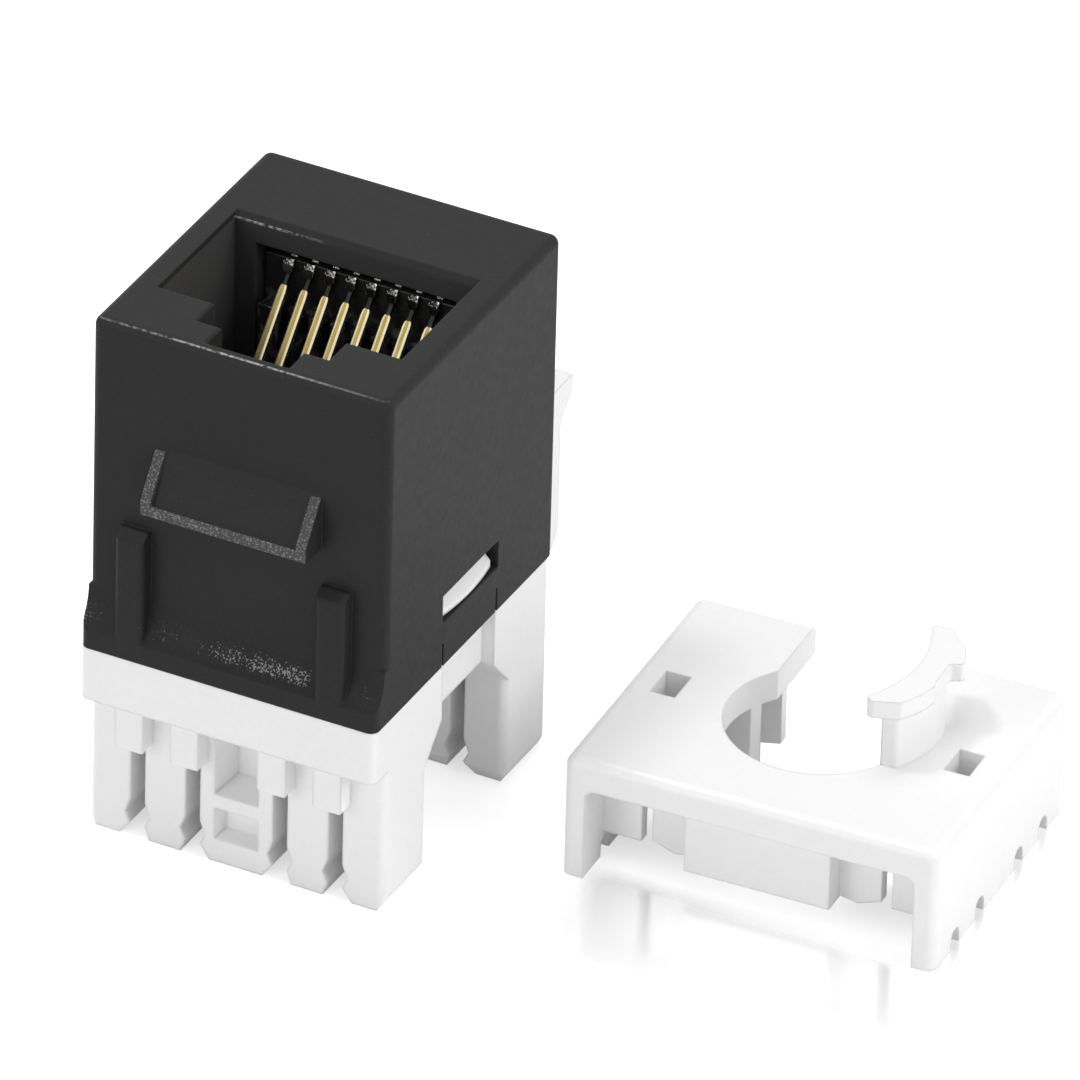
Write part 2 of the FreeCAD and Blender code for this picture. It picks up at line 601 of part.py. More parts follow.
def make_terminal_block():
    body = new_body("terminal_block")
    lip_side = hook_side - dim.lip_reach
    gate = sketch_on(body, "block_side", "YZ")
    outline(gate, [
        (-dim.tower_face, 0),
        (-dim.tower_inside - dim.tip_run, 0),
        (-dim.tower_inside, dim.tip_rise),
        (-dim.tower_inside, dim.deck_underside - dim.arch_rise),
        (-dim.tower_inside + dim.arch_run, dim.deck_underside),
        (dim.tower_inside - dim.arch_run, dim.deck_underside),
        (dim.tower_inside, dim.deck_underside - dim.arch_rise),
        (dim.tower_inside, dim.tip_rise),
        (dim.tower_inside + dim.tip_run, 0),
        (dim.tower_face, 0),
        (dim.tower_face, dim.housing_foot),
        (lip_side, dim.housing_foot),
        (lip_side, dim.skirt_foot),
        (-dim.tower_face, dim.skirt_foot),
    ])
    frame = pad(body, gate, dim.jack_width, symmetric=True)

    def upright_edge(edge):
        spot = middle(edge)
        outside = abs(spot.y) > (dim.tower_inside - dim.overlap).value
        return is_near(abs(spot.x), half_width) and outside and runs_along(edge, 2)
    dress(body, "Fillet", "block_rounding", frame, upright_edge, dim.block_round)

    corners = sketch_on(body, "outer_tip_chamfers", "XZ")
    for hand in (-1, 1):
        outline(corners, [
            (hand * (half_width - dim.tip_run), -dim.overrun),
            (hand * (half_width - dim.tip_run), 0),
            (hand * half_width, dim.tip_rise),
            (hand * (half_width + dim.overrun), dim.tip_rise),
            (hand * (half_width + dim.overrun), -dim.overrun),
        ])
    pocket(body, corners, dim.jack_depth * 2, symmetric=True)

    aprons = sketch_on(body, "side_aprons", "XY", dim.deck_underside - dim.arch_rise - dim.overrun)
    for hand in (-1, 1):
        low, high = in_order(hand * (half_width - dim.apron_depth),
                             hand * (half_width + dim.overrun))
        rectangle(aprons, low, -dim.apron_length / 2, high, dim.apron_length / 2)
    pocket(body, aprons, dim.housing_foot, up=True)

    tops = {"near": dim.skirt_foot + dim.embed, "far": dim.latch_foot - dim.fit_gap}
    for hand, side in ((-1, "near"), (1, "far")):
        tongues = sketch_on(body, f"tongues_{side}", "XY", dim.tongue_foot)
        for centre in slot_places:
            low, high = in_order(hand * (dim.tower_face - dim.embed),
                                 hand * (dim.tower_face + dim.tongue_reach))
            rectangle(tongues, centre - dim.tongue_width / 2, low,
                      centre + dim.tongue_width / 2, high)
        blades = pad(body, tongues, tops[side] - dim.tongue_foot)

    def tongue_edge(edge):
        spot = middle(edge)
        lowest = is_near(spot.z, dim.tongue_foot)
        at_face = is_near(abs(spot.y), dim.tower_face + dim.tongue_reach)
        at_flank = runs_along(edge, 1) and abs(spot.y) > dim.tower_face.value
        return lowest and (at_face or at_flank)
    dress(body, "Fillet", "tongue_rounding", blades, tongue_edge, dim.tongue_round)

    slots = sketch_on(body, "wire_slots", "XZ")
    for centre in slot_places:
        hand = 1 if centre.value > 0 else -1
        slot_outline(slots, centre, hand, is_near(abs(centre.value), dim.slot_outer))
    pocket(body, slots, (dim.tower_face + dim.slot_past) * 2, symmetric=True)

    for hand, side in ((-1, "near"), (1, "far")):
        for low, high, name in ((dim.bay_foot, dim.bay_head, "bay"),
                                (dim.small_bay_foot, dim.small_bay_head, "small_bay")):
            hollow = sketch_on(body, f"{name}_{side}", "XZ", hand * dim.tower_face)
            rectangle(hollow, -dim.bay_width / 2, low, dim.bay_width / 2, high)
            deep = dim.bay_depth if name == "bay" else dim.bay_depth / 2
            pocket(body, hollow, deep, up=hand > 0, taper=-dim.bay_draft)

    seat = sketch_on(body, "board_seat", "XY", dim.housing_foot)
    seat_width = dim.chamber_width / 2 - dim.fit_gap
    seat_depth = dim.chamber_depth / 2 - dim.fit_gap
    notch = dim.arm_inside - dim.arm_gap
    shoulder = dim.arm_length / 2 + dim.arm_gap
    right = [
        (seat_width, -seat_depth),
        (seat_width, -shoulder),
        (notch, -shoulder),
        (notch, shoulder),
        (seat_width, shoulder),
        (seat_width, seat_depth),
    ]
    left = [(-across, up) for across, up in reversed(right)]
    outline(seat, right + left)
    pad(body, seat, dim.seat_height)

    arms = sketch_on(body, "snap_arms", "XY", dim.housing_foot)
    for hand in (-1, 1):
        low, high = in_order(hand * dim.arm_inside, hand * dim.arm_outside)
        rectangle(arms, low, -dim.arm_length / 2, high, dim.arm_length / 2)
    pad(body, arms, dim.window_head - dim.fit_gap - dim.housing_foot)

    nub_foot = dim.window_foot + dim.fit_gap
    nubs = sketch_on(body, "snap_nubs", "XY", nub_foot)
    half_arm = dim.arm_length / 2
    bow_radius = (half_arm * half_arm + dim.nub_bow * dim.nub_bow) / (2 * dim.nub_bow)
    for hand in (-1, 1):
        edge = dim.arm_outside + dim.nub_reach - dim.nub_bow
        outline(nubs, [
            (hand * (dim.arm_outside - dim.overlap), -half_arm),
            (hand * edge, -half_arm),
            (hand * edge, half_arm),
            (hand * (dim.arm_outside - dim.overlap), half_arm),
        ], {1: (hand * (edge + dim.nub_bow - bow_radius), 0, hand)})
    pad(body, nubs, dim.window_head - dim.fit_gap - nub_foot)
    bevel = sketch_on(body, "nub_slope", "XZ")
    nub_top = dim.window_head - dim.fit_gap
    nub_side = dim.arm_outside + dim.nub_reach
    for hand in (-1, 1):
        outline(bevel, [
            (hand * dim.arm_outside, nub_top),
            (hand * nub_side, nub_foot + dim.nub_edge),
            (hand * (nub_side + dim.overrun), nub_foot + dim.nub_edge),
            (hand * (nub_side + dim.overrun), nub_top + dim.overrun),
            (hand * dim.arm_outside, nub_top + dim.overrun),
        ])
    pocket(body, bevel, dim.arm_length + dim.overrun, symmetric=True)

    pockets = sketch_on(body, "blade_pockets", "XY", dim.housing_foot + dim.seat_height)
    half_blade = dim.blade_width / 2 + dim.wire_gap
    half_thick = dim.blade_thick / 2 + dim.wire_gap
    for centre in slot_places:
        for hand in (-1, 1):
            rectangle(pockets, centre - half_blade, hand * blade_row - half_thick,
                      centre + half_blade, hand * blade_row + half_thick)
    pocket(body, pockets, dim.housing_foot + dim.seat_height - dim.blade_tip + dim.fit_gap)
    return body


# Contact carrier

def make_contact_carrier():
    body = new_body("contact_carrier")
    base_low = dim.housing_foot + dim.seat_height + dim.board_thick
    base = sketch_on(body, "carrier_base", "XY", base_low)
    wide = dim.chamber_width / 2 - dim.fit_gap
    deep = dim.chamber_depth / 2 - dim.fit_gap
    notch = dim.arm_inside - dim.arm_gap
    shoulder = dim.arm_length / 2 + dim.arm_gap
    right = [
        (wide, -deep),
        (wide, -shoulder),
        (notch, -shoulder),
        (notch, shoulder),
        (wide, shoulder),
        (wide, deep),
    ]
    left = [(-across, up) for across, up in reversed(right)]
    outline(base, right + left)
    pad(body, base, dim.port_floor - base_low)

    comb = sketch_on(body, "comb_side", "YZ")
    comb_top = nose_top - dim.comb_drop
    front = dim.port_contact_side + dim.wire_gap
    nose_half = dim.hairpin_radius - dim.wire_thick / 2 - dim.wire_gap
    nose_front = dim.nose_middle - nose_half
    nose_back = dim.nose_middle + nose_half
    outline(comb, [
        (front, dim.port_floor - dim.embed),
        (nose_back, dim.port_floor - dim.embed),
        (nose_back, nose_top),
        (nose_front, nose_top),
        (nose_front, comb_top),
        (front, comb_top),
    ])
    pad(body, comb, dim.insert_width - 2 * dim.fit_gap, symmetric=True)

    grooves = sketch_on(body, "comb_grooves", "XY", comb_top + dim.overrun)
    for centre in contact_places:
        rectangle(grooves, centre - dim.groove_width / 2, front - dim.overrun,
                  centre + dim.groove_width / 2, nose_front)
    pocket(body, grooves, comb_top + dim.overrun - dim.port_floor)

    channels = sketch_on(body, "leg_channels", "XY", dim.port_floor + dim.embed)
    leg_middle = dim.nose_middle + dim.hairpin_radius
    for centre in contact_places:
        rectangle(channels, centre - dim.wire_width / 2 - dim.wire_gap, nose_back,
                  centre + dim.wire_width / 2 + dim.wire_gap,
                  leg_middle + dim.wire_thick / 2 + dim.wire_gap)
    pocket(body, channels, dim.port_floor + dim.embed * 2 - base_low)
    return body


# Circuit board

def make_circuit_board():
    body = new_body("circuit_board")
    plate = sketch_on(body, "board_outline", "XY", dim.housing_foot + dim.seat_height)
    wide = dim.arm_inside - dim.arm_gap
    deep = dim.chamber_depth / 2 - dim.board_gap
    rectangle(plate, -wide, -deep, wide, deep)
    for centre in slot_places:
        for hand in (-1, 1):
            circle(plate, centre, hand * blade_row, dim.hole_wide / 2)
    for centre in contact_places:
        circle(plate, centre, dim.nose_middle + dim.hairpin_radius, dim.hole_small / 2)
    pad(body, plate, dim.board_thick)
    return body


# Contacts: the fixed leg bends over the nose, the spring leaves it at a pivot

def make_contact_leg(number):
    """One wire: tail in the board, up the back of the nose, over it and a short way down."""
    body = new_body(f"contact_leg_{number}")
    side = sketch_on(body, f"leg_side_{number}", "YZ")
    thick = dim.wire_thick / 2
    front = dim.nose_middle - dim.hairpin_radius
    back = dim.nose_middle + dim.hairpin_radius
    bend = nose_top + dim.wire_gap
    stub = nose_top - dim.pivot_drop + thick + dim.wire_gap
    tail = dim.housing_foot + dim.seat_height + dim.fit_gap
    outline(side, [
        (front - thick, bend),
        (front - thick, stub),
        (front + thick, stub),
        (front + thick, bend),
        (back - thick, bend),
        (back - thick, tail),
        (back + thick, tail),
        (back + thick, bend),
    ], {
        3: (dim.nose_middle, bend, -1),
        7: (dim.nose_middle, bend, 1),
    })
    pad(body, side, dim.wire_width, symmetric=True)
    place(body, across=contact_places[number - 1])
    return body


def make_spring_contact(number):
    """The springing part of a wire, upright in its own sketch and leaned by its placement."""
    body = new_body(f"spring_contact_{number}")
    side = sketch_on(body, f"spring_side_{number}", "YZ")
    thick = dim.wire_thick / 2
    outline(side, [
        (thick, 0),
        (-thick, 0),
        (-thick, -dim.spring_length),
        (thick, -dim.spring_length),
    ], {
        0: (0, 0, 1),
        2: (0, -dim.spring_length, 1),
    })
    pad(body, side, dim.wire_width, symmetric=True)
    turn(body, FreeCAD.Vector(1, 0, 0), -dim.spring_lean_angle)
    place(body, contact_places[number - 1], dim.nose_middle - dim.hairpin_radius,
          nose_top - dim.pivot_drop)
    return body


# Insulation displacement blades, one in each half of the two tower rows

def make_idc_contact(number):
    body = new_body(f"idc_contact_{number}")
    face = sketch_on(body, f"blade_face_{number}", "XZ")
    half = dim.blade_width / 2
    slit = dim.blade_slit / 2
    shoulder = dim.housing_foot + dim.seat_height - dim.blade_seat
    tail = dim.tail_width / 2
    top = dim.housing_foot + dim.seat_height + dim.board_thick - dim.fit_gap
    right = [
        (half, shoulder),
        (half, dim.blade_tip + dim.blade_corner),
        (half - dim.blade_corner, dim.blade_tip),
        (slit + dim.blade_land, dim.blade_tip),
        (slit, dim.blade_tip + dim.blade_lead),
        (slit, dim.blade_slit_top),
    ]
    left = [(-across, up) for across, up in reversed(right)]
    tail_right = [(tail, top), (tail, shoulder)]
    tail_left = [(-tail, shoulder), (-tail, top)]
    outline(face, tail_right + right + left + tail_left)
    pad(body, face, dim.blade_thick, symmetric=True)
    place(body, slot_places[(number - 1) % 4], blade_row if number > 4 else -blade_row)
    return body


# Flexible latch

def make_panel_latch():
    body = new_body("panel_latch")
    arm = sketch_on(body, "latch_arm", "YZ")
    half = dim.latch_thick / 2
    root_middle = dim.tower_face + dim.wire_gap + half
    outer = dim.latch_reach
    inner = dim.latch_reach - dim.latch_thick
    foot = dim.latch_foot
    inner_bend = dim.latch_bend - dim.latch_thick
    outline(arm, [
        (root_middle, foot),
        (outer - dim.latch_bend, foot),
        (outer, foot + dim.latch_bend),
        (outer, dim.shoulder_ramp),
        (outer + dim.shoulder_reach, dim.shoulder_low),
        (outer + dim.shoulder_reach, dim.shoulder_top),
        (inner, dim.shoulder_top),
        (inner, foot + dim.latch_bend),
        (inner - inner_bend, foot + dim.latch_thick),
        (root_middle, foot + dim.latch_thick),
    ], {
        1: (outer - dim.latch_bend, foot + dim.latch_bend, 1),
        7: (outer - dim.latch_bend, foot + dim.latch_bend, -1),
        9: (root_middle, foot + half, 1),
    })
    pad(body, arm, dim.latch_width, symmetric=True)
    tongue = sketch_on(body, "latch_tongue", "YZ")
    outline(tongue, [
        (inner, dim.shoulder_top - dim.embed),
        (outer, dim.shoulder_top - dim.embed),
        (outer, dim.catch_ledge),
        (outer + dim.shoulder_reach, dim.catch_ledge),
        (outer + dim.shoulder_reach, dim.catch_ledge + dim.catch_flat),
        (outer, dim.tongue_top - dim.tongue_bevel),
        (outer - dim.tongue_bevel, dim.tongue_top),
        (inner, dim.tongue_top),
    ])
    pad(body, tongue, dim.tongue_plate, symmetric=True)
    return body


# Loose cap. Its own frame: X along its long side, Z up, origin at the middle of its feet.

# Corners of the tie post's head round its back, as parts of the cable passage's radius
HEAD_CORNERS = [
    (0.81, -0.57),
    (1.09, -0.47),
    (1.22, -0.24),
    (1.28, -0.02),
    (1.25, 0.06),
    (1.25, 0.42),
    (1.39, 0.48),
    (1.29, 0.75),
    (1.01, 1.04),
]


def make_wire_cap():
    body = new_body("wire_cap")
    inner_half = dim.tower_face + dim.fit_gap
    outer_half = inner_half + dim.cap_wall
    under = dim.cap_height - dim.cap_plate
    gate = sketch_on(body, "cap_front", "XZ")
    outline(gate, [
        (-outer_half, 0),
        (-inner_half, 0),
        (-inner_half, under),
        (inner_half, under),
        (inner_half, 0),
        (outer_half, 0),
        (outer_half, dim.cap_height),
        (-outer_half, dim.cap_height),
    ])
    roof = pad(body, gate, dim.jack_width, symmetric=True)

    def under_edge(edge):
        spot = middle(edge)
        return is_near(abs(spot.x), inner_half) and is_near(spot.z, under)
    softened = dress(body, "Fillet", "cap_inside_rounding", roof, under_edge, dim.cap_inner_round)

    def outer_edge(edge):
        spot = middle(edge)
        on_top = is_near(spot.z, dim.cap_height)
        at_corner = is_near(abs(spot.x), outer_half) and runs_along(edge, 2)
        return on_top or at_corner
    dress(body, "Fillet", "cap_rounding", softened, outer_edge, dim.cap_round)

    front = -half_width + dim.core_inset
    core = sketch_on(body, "core", "XY", dim.core_lift)
    rectangle(core, -dim.core_width / 2, front, dim.core_width / 2, dim.cable_offset)
    pad(body, core, under + dim.overlap - dim.core_lift)

    core_side = dim.core_width / 2 - dim.overlap
    inner_end = blade_row - dim.stuffer_slit / 2
    for number, centre in enumerate(slot_places, start=1):
        beside_core = centre.value < 0
        start = core_side if beside_core else dim.stuffer_start
        ribs = sketch_on(body, f"stuffers_{number}", "XZ", centre)
        for hand in (-1, 1):
            outline(ribs, [
                (hand * start, under + dim.overlap),
                (hand * start, dim.stuffer_lift),
                (hand * (start + inner_end) / 2, dim.stuffer_lift - dim.stuffer_dip),
                (hand * inner_end, dim.stuffer_lift + dim.stuffer_dip),
                (hand * inner_end, under + dim.overlap),
            ])
            outline(ribs, [
                (hand * (inner_end + dim.stuffer_slit), under + dim.overlap),
                (hand * (inner_end + dim.stuffer_slit), dim.stuffer_lift),
                (hand * (inner_half + dim.overlap), dim.stuffer_lift),
                (hand * (inner_half + dim.overlap), under + dim.overlap),
            ])
        pad(body, ribs, dim.stuffer_thick, symmetric=True)

    passage = sketch_on(body, "cable_passage", "XY", dim.cap_height + dim.overrun)
    half_gate = dim.cable_gate / 2
    meet = dim.cable_offset + root(
        dim.cable_radius * dim.cable_radius - half_gate * half_gate)
    outline(passage, [
        (half_gate, meet),
        (half_gate, half_width + dim.overrun),
        (-half_gate, half_width + dim.overrun),
        (-half_gate, meet),
    ], {3: (0, dim.cable_offset, 1)})
    pocket(body, passage, dim.cap_height + dim.overrun * 2)

    eyes = sketch_on(body, "square_holes", "XY", dim.cap_height + dim.overrun)
    for hand in (-1, 1):
        centre = hand * dim.eye_spacing / 2
        rectangle(eyes, centre - dim.eye_width / 2, -dim.eye_length / 2,
                  centre + dim.eye_width / 2, dim.eye_length / 2)
    pocket(body, eyes, dim.cap_plate + dim.overrun + dim.embed)

    notches = sketch_on(body, "foot_notches", "YZ")
    half_notch = dim.foot_notch_width / 2
    for centre in slot_places:
        outline(notches, [
            (centre - half_notch, -dim.overrun),
            (centre + half_notch, -dim.overrun),
            (centre + half_notch, dim.foot_notch - half_notch),
            (centre - half_notch, dim.foot_notch - half_notch),
        ], {2: (centre, dim.foot_notch - half_notch, 1)})
    pocket(body, notches, (outer_half + dim.overrun) * 2, symmetric=True)

    post = sketch_on(body, "tie_post", "XY", dim.cap_height - dim.embed)
    bow_middle = dim.cable_offset + dim.post_bow_along

    def across_at(radius, offset, middle_across):
        return middle_across + root(radius * radius - offset * offset)
    faces = (-dim.post_near, dim.post_far)
    outer = [(across_at(dim.post_bow, along - dim.post_bow_along, dim.post_bow_across),
              dim.cable_offset + along) for along in faces]
    inner = [(across_at(dim.post_inner, along, 0), dim.cable_offset + along) for along in faces]
    outline(post, [outer[0], outer[1], inner[1], inner[0]], {
        0: (dim.post_bow_across, bow_middle, 1),
        2: (0, dim.cable_offset, -1),
    })
    standing = pad(body, post, dim.post_height + dim.embed)

    def post_corner(edge):
        spot = middle(edge)
        outside = spot.x > dim.post_inner.value
        return outside and runs_along(edge, 2) and spot.z > dim.cap_height.value
    dress(body, "Fillet", "post_rounding", standing, post_corner, dim.post_round)
    head = sketch_on(body, "tie_head", "XY", dim.cap_height + dim.post_height)
    bow_along = dim.cable_offset + dim.head_bow_along
    ends = [(dim.head_bow * cosine(angle) - dim.head_bow_across,
             bow_along + dim.head_bow * sine(angle))
            for angle in (dim.head_end, dim.head_start)]
    back = [(dim.cable_radius * across, dim.cable_offset + dim.cable_radius * up)
            for across, up in HEAD_CORNERS]
    outline(head, ends + back, {0: (-dim.head_bow_across, bow_along, -1)})
    headed = pad(body, head, dim.head_thick)

    def head_edge(edge):
        return middle(edge).z > (dim.cap_height + dim.post_height).value and runs_along(edge, 2)
    dress(body, "Fillet", "head_rounding", headed, head_edge, dim.head_round)

    turn(body, FreeCAD.Vector(0, 0, 1), dim.cap_turn)
    place(body, dim.cap_rest_x, dim.cap_rest_y)
    return body


pieces = [
    make_housing(),
    make_contact_carrier(),
    make_circuit_board(),
    make_terminal_block(),
    make_panel_latch(),
    make_wire_cap(),
]
for contact in range(1, 9):
    pieces.append(make_contact_leg(contact))
    pieces.append(make_spring_contact(contact))
    pieces.append(make_idc_contact(contact))

doc.recompute()

for thing in doc.Objects:
    if "Invalid" in thing.State or "Error" in thing.State:
        raise RuntimeError(f"{thing.Name} did not compute: {thing.State}")

os.makedirs("parts", exist_ok=True)
for piece in pieces:
    shape = piece.Shape
    if shape.isNull() or not shape.isValid() or len(shape.Solids) != 1:
        raise RuntimeError(f"{piece.Label} is not one valid solid")
    shape.exportStep(f"parts/{piece.Label}.step")
    print(f"{piece.Label}: {shape.Volume:.2f} mm3")
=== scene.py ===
# %% [markdown]
# # A keystone jack and its loose cap
# The jack is a small snap-in socket. A black housing takes the plug, eight sprung wires touch
# the plug's contacts, and a white block below grips the cable's eight wires. The cap beside it
# is pressed over the block once the wires lie in their slots.
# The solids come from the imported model, so this lesson only dresses them: camera, light,
# finishes, and the metal parts that need rounder shapes than the solids have.

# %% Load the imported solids
import math

import bpy
from mathutils import Matrix, Vector


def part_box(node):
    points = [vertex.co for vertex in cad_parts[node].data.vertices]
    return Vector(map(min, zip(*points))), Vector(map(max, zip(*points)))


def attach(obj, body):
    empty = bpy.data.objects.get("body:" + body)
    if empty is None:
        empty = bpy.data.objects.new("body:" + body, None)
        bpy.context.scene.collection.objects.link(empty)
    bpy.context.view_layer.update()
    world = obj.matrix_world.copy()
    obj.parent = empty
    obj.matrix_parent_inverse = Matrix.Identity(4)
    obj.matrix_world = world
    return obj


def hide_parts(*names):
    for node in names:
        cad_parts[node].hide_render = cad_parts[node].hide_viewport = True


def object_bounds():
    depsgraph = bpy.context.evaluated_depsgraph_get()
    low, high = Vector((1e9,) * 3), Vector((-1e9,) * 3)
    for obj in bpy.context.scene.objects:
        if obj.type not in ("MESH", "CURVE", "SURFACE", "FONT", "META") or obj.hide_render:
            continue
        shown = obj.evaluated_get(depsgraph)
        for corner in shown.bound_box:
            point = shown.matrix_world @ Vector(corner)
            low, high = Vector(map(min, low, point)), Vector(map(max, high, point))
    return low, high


MM = 0.001
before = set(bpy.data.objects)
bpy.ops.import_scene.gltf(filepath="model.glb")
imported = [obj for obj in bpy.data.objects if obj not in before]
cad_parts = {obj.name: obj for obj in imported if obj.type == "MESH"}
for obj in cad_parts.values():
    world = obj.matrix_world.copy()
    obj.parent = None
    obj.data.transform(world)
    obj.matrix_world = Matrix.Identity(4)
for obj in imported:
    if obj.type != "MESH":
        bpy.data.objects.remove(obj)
solid_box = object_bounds()
print("solids loaded:", len(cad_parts), "box in metres:", solid_box)

# %% [markdown]
# ## The camera
# The jack was photographed from far away with a long lens, so its edges stay almost parallel.
# A camera can be placed by hand until the edges agree, or worked out from them. The second way
# gave the angles below. The picture is also turned a little, so the camera leans by that much.

# %% Place the camera
AZIMUTH = math.radians(26.47)
ELEVATION = math.radians(32.81)
LEAN = math.radians(1.58)
DISTANCE = 793 * MM
FOCAL_LENGTH = 611.5
FILM_WIDTH = 36
AIM = Vector((10.556, 0, 16.013)) * MM

towards_camera = Vector((
    math.sin(AZIMUTH) * math.cos(ELEVATION),
    -math.cos(AZIMUTH) * math.cos(ELEVATION),
    math.sin(ELEVATION),
))
lens = bpy.data.cameras.new("photo_camera")
lens.lens = FOCAL_LENGTH
lens.sensor_width = FILM_WIDTH
lens.clip_start = 0.05
lens.clip_end = 20
camera = bpy.data.objects.new("photo_camera", lens)
bpy.context.collection.objects.link(camera)
camera.location = AIM + towards_camera * DISTANCE
facing = towards_camera.to_track_quat("Z", "Y").to_matrix()
camera.rotation_euler = (facing @ Matrix.Rotation(LEAN, 3, "Z")).to_euler()
bpy.context.scene.camera = camera
bpy.context.scene.view_settings.view_transform = "Standard"
print("camera at", [round(part, 3) for part in camera.location])

# %% [markdown]
# ## The light
# White plastic shows its shape only if the light is soft and comes more from one side. A wide
# lamp on the right makes the right faces palest, weaker ones above and in front open the
# shadows, and the world fills the rest. A small lamp high on the left shines down into the port,
# which makes the contacts gleam. All together a colour renders about as it is written.

# %% Place the lamps
LIT_SPOT = Vector((0.008, 0, 0.012))


def add_lamp(name, place, size, power):
    """A square lamp that faces the lit spot. Place and size are in metres, power in watts."""
    lamp = bpy.data.lights.new(name, "AREA")
    lamp.size = size
    lamp.energy = power
    holder = bpy.data.objects.new(name, lamp)
    bpy.context.collection.objects.link(holder)
    holder.location = Vector(place)
    away = Vector(place) - LIT_SPOT
    holder.rotation_euler = away.to_track_quat("Z", "Y").to_euler()
    print(name, "gives", power, "W")


add_lamp("window_right", (0.42, 0.02, 0.26), 0.30, 0.95)
add_lamp("window_above", (-0.05, 0.10, 0.50), 0.30, 0.65)
add_lamp("card_front", (-0.19, -0.43, 0.18), 0.25, 0.42)
add_lamp("small_flash", (-0.177, -0.045, 0.472), 0.07, 0.50)

# %% [markdown]
# ## Short names for node work
# A finish is a tree of nodes, and each tree takes the same few steps: add a node, set it, connect
# it. These helpers do a step in one line. The world is the first tree made with them. It fills
# the shadows with even white, and metal mirrors it brighter than it lights.

# %% Helpers for node trees
def connect(tree, start, end):
    tree.links.new(start, end)


def add_node(tree, kind, **settings):
    made = tree.nodes.new(kind)
    for name, value in settings.items():
        setattr(made, name, value)
    return made


def math_node(tree, operation, first, second=0.0):
    made = add_node(tree, "ShaderNodeMath", operation=operation)
    for socket, value in zip(made.inputs, (first, second)):
        if isinstance(value, (int, float)):
            socket.default_value = value
        else:
            connect(tree, value, socket)
    return made.outputs[0]


def map_node(tree, value, start, end, low=0.0, high=1.0, soft=False):
    """Turns start..end into low..high and stops there."""
    made = add_node(tree, "ShaderNodeMapRange")
    made.interpolation_type = "SMOOTHSTEP" if soft else "LINEAR"
    connect(tree, value, made.inputs["Value"])
    for label, amount in zip(("From Min", "From Max", "To Min", "To Max"), (start, end, low, high)):
        made.inputs[label].default_value = amount
    return made.outputs["Result"]


print("helpers for nodes ready")

# %% Let the world fill the shadows
WORLD_FILL = 0.47
WORLD_MIRRORED = 1.0

world = bpy.data.worlds.new("studio")
world.use_nodes = True
bpy.context.scene.world = world
sky = world.node_tree.nodes["Background"]
sky.inputs["Color"].default_value = (1, 1, 1, 1)
tree = world.node_tree
rays = add_node(tree, "ShaderNodeLightPath")
gain = math_node(tree, "MULTIPLY", rays.outputs["Is Glossy Ray"], WORLD_MIRRORED - WORLD_FILL)
connect(tree, math_node(tree, "ADD", gain, WORLD_FILL), sky.inputs["Strength"])
print("world fills with", WORLD_FILL, "and is mirrored as", WORLD_MIRRORED)

# %% [markdown]
# ## The floor
# The picture has a pure white ground with soft shadows, and under the cap a faint mirror image.
# A white floor alone would render a little grey, so the floor also glows, but only for the
# camera and for what mirrors it. In front of the cap and to its right the floor turns smooth and
# partly metallic, and glows less, so that it mirrors the cap's walls there and nowhere else.

# %% Lay the floor
bpy.ops.mesh.primitive_plane_add(size=3, location=(0, 0, solid_box[0][2]))
floor = bpy.context.object
floor.name = "floor"
print("floor at height", round(solid_box[0][2] / MM, 3), "mm")

# %% Give the floor its finish
GROUND_SHADE = 0.94
DULL, SMOOTH = 0.9, 0.14
METAL_BY_CAP = 0.45
GLOW, GLOW_BY_CAP = 0.52, 0.20
GLOW_MIRRORED = 0.20
EDGE_FADE, LEFT_FADE = 2 * MM, 3 * MM
IMAGE_END, IMAGE_FADE = 11 * MM, 5 * MM

floor_finish = bpy.data.materials.new("white_ground")
floor_finish.use_nodes = True
tree = floor_finish.node_tree
ground = tree.nodes["Principled BSDF"]
ground.inputs["Base Color"].default_value = (GROUND_SHADE, GROUND_SHADE, GROUND_SHADE, 1)
place = add_node(tree, "ShaderNodeTexCoord").outputs["Object"]
apart = add_node(tree, "ShaderNodeSeparateXYZ")
connect(tree, place, apart.inputs[0])
cap_low, cap_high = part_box("wire_cap")
along, inward = apart.outputs["X"], apart.outputs["Y"]
in_front = map_node(tree, inward, cap_low[1] + EDGE_FADE, cap_low[1], soft=True)
at_right = map_node(tree, along, cap_high[0] - EDGE_FADE, cap_high[0], soft=True)
beside = math_node(tree, "MAXIMUM", in_front, at_right)
starts = map_node(tree, along, cap_low[0], cap_low[0] + LEFT_FADE, soft=True)
ends = map_node(tree, inward, cap_low[1] - IMAGE_END, cap_low[1] - IMAGE_FADE, soft=True)
near_cap = math_node(tree, "MULTIPLY", beside, math_node(tree, "MULTIPLY", starts, ends))
connect(tree, map_node(tree, near_cap, 0, 1, DULL, SMOOTH), ground.inputs["Roughness"])
connect(tree, math_node(tree, "MULTIPLY", near_cap, METAL_BY_CAP), ground.inputs["Metallic"])
rays = add_node(tree, "ShaderNodeLightPath").outputs
glow = map_node(tree, near_cap, 0, 1, GLOW, GLOW_BY_CAP)
seen = math_node(tree, "MULTIPLY", rays["Is Camera Ray"], glow)
mirrored = math_node(tree, "MAXIMUM", rays["Is Glossy Ray"], rays["Is Transmission Ray"])
mirrored = math_node(tree, "MULTIPLY", mirrored, GLOW_MIRRORED)
connect(tree, math_node(tree, "MAXIMUM", seen, mirrored), ground.inputs["Emission Strength"])
ground.inputs["Emission Color"].default_value = (1, 1, 1, 1)
floor.data.materials.append(floor_finish)
print("floor finished")

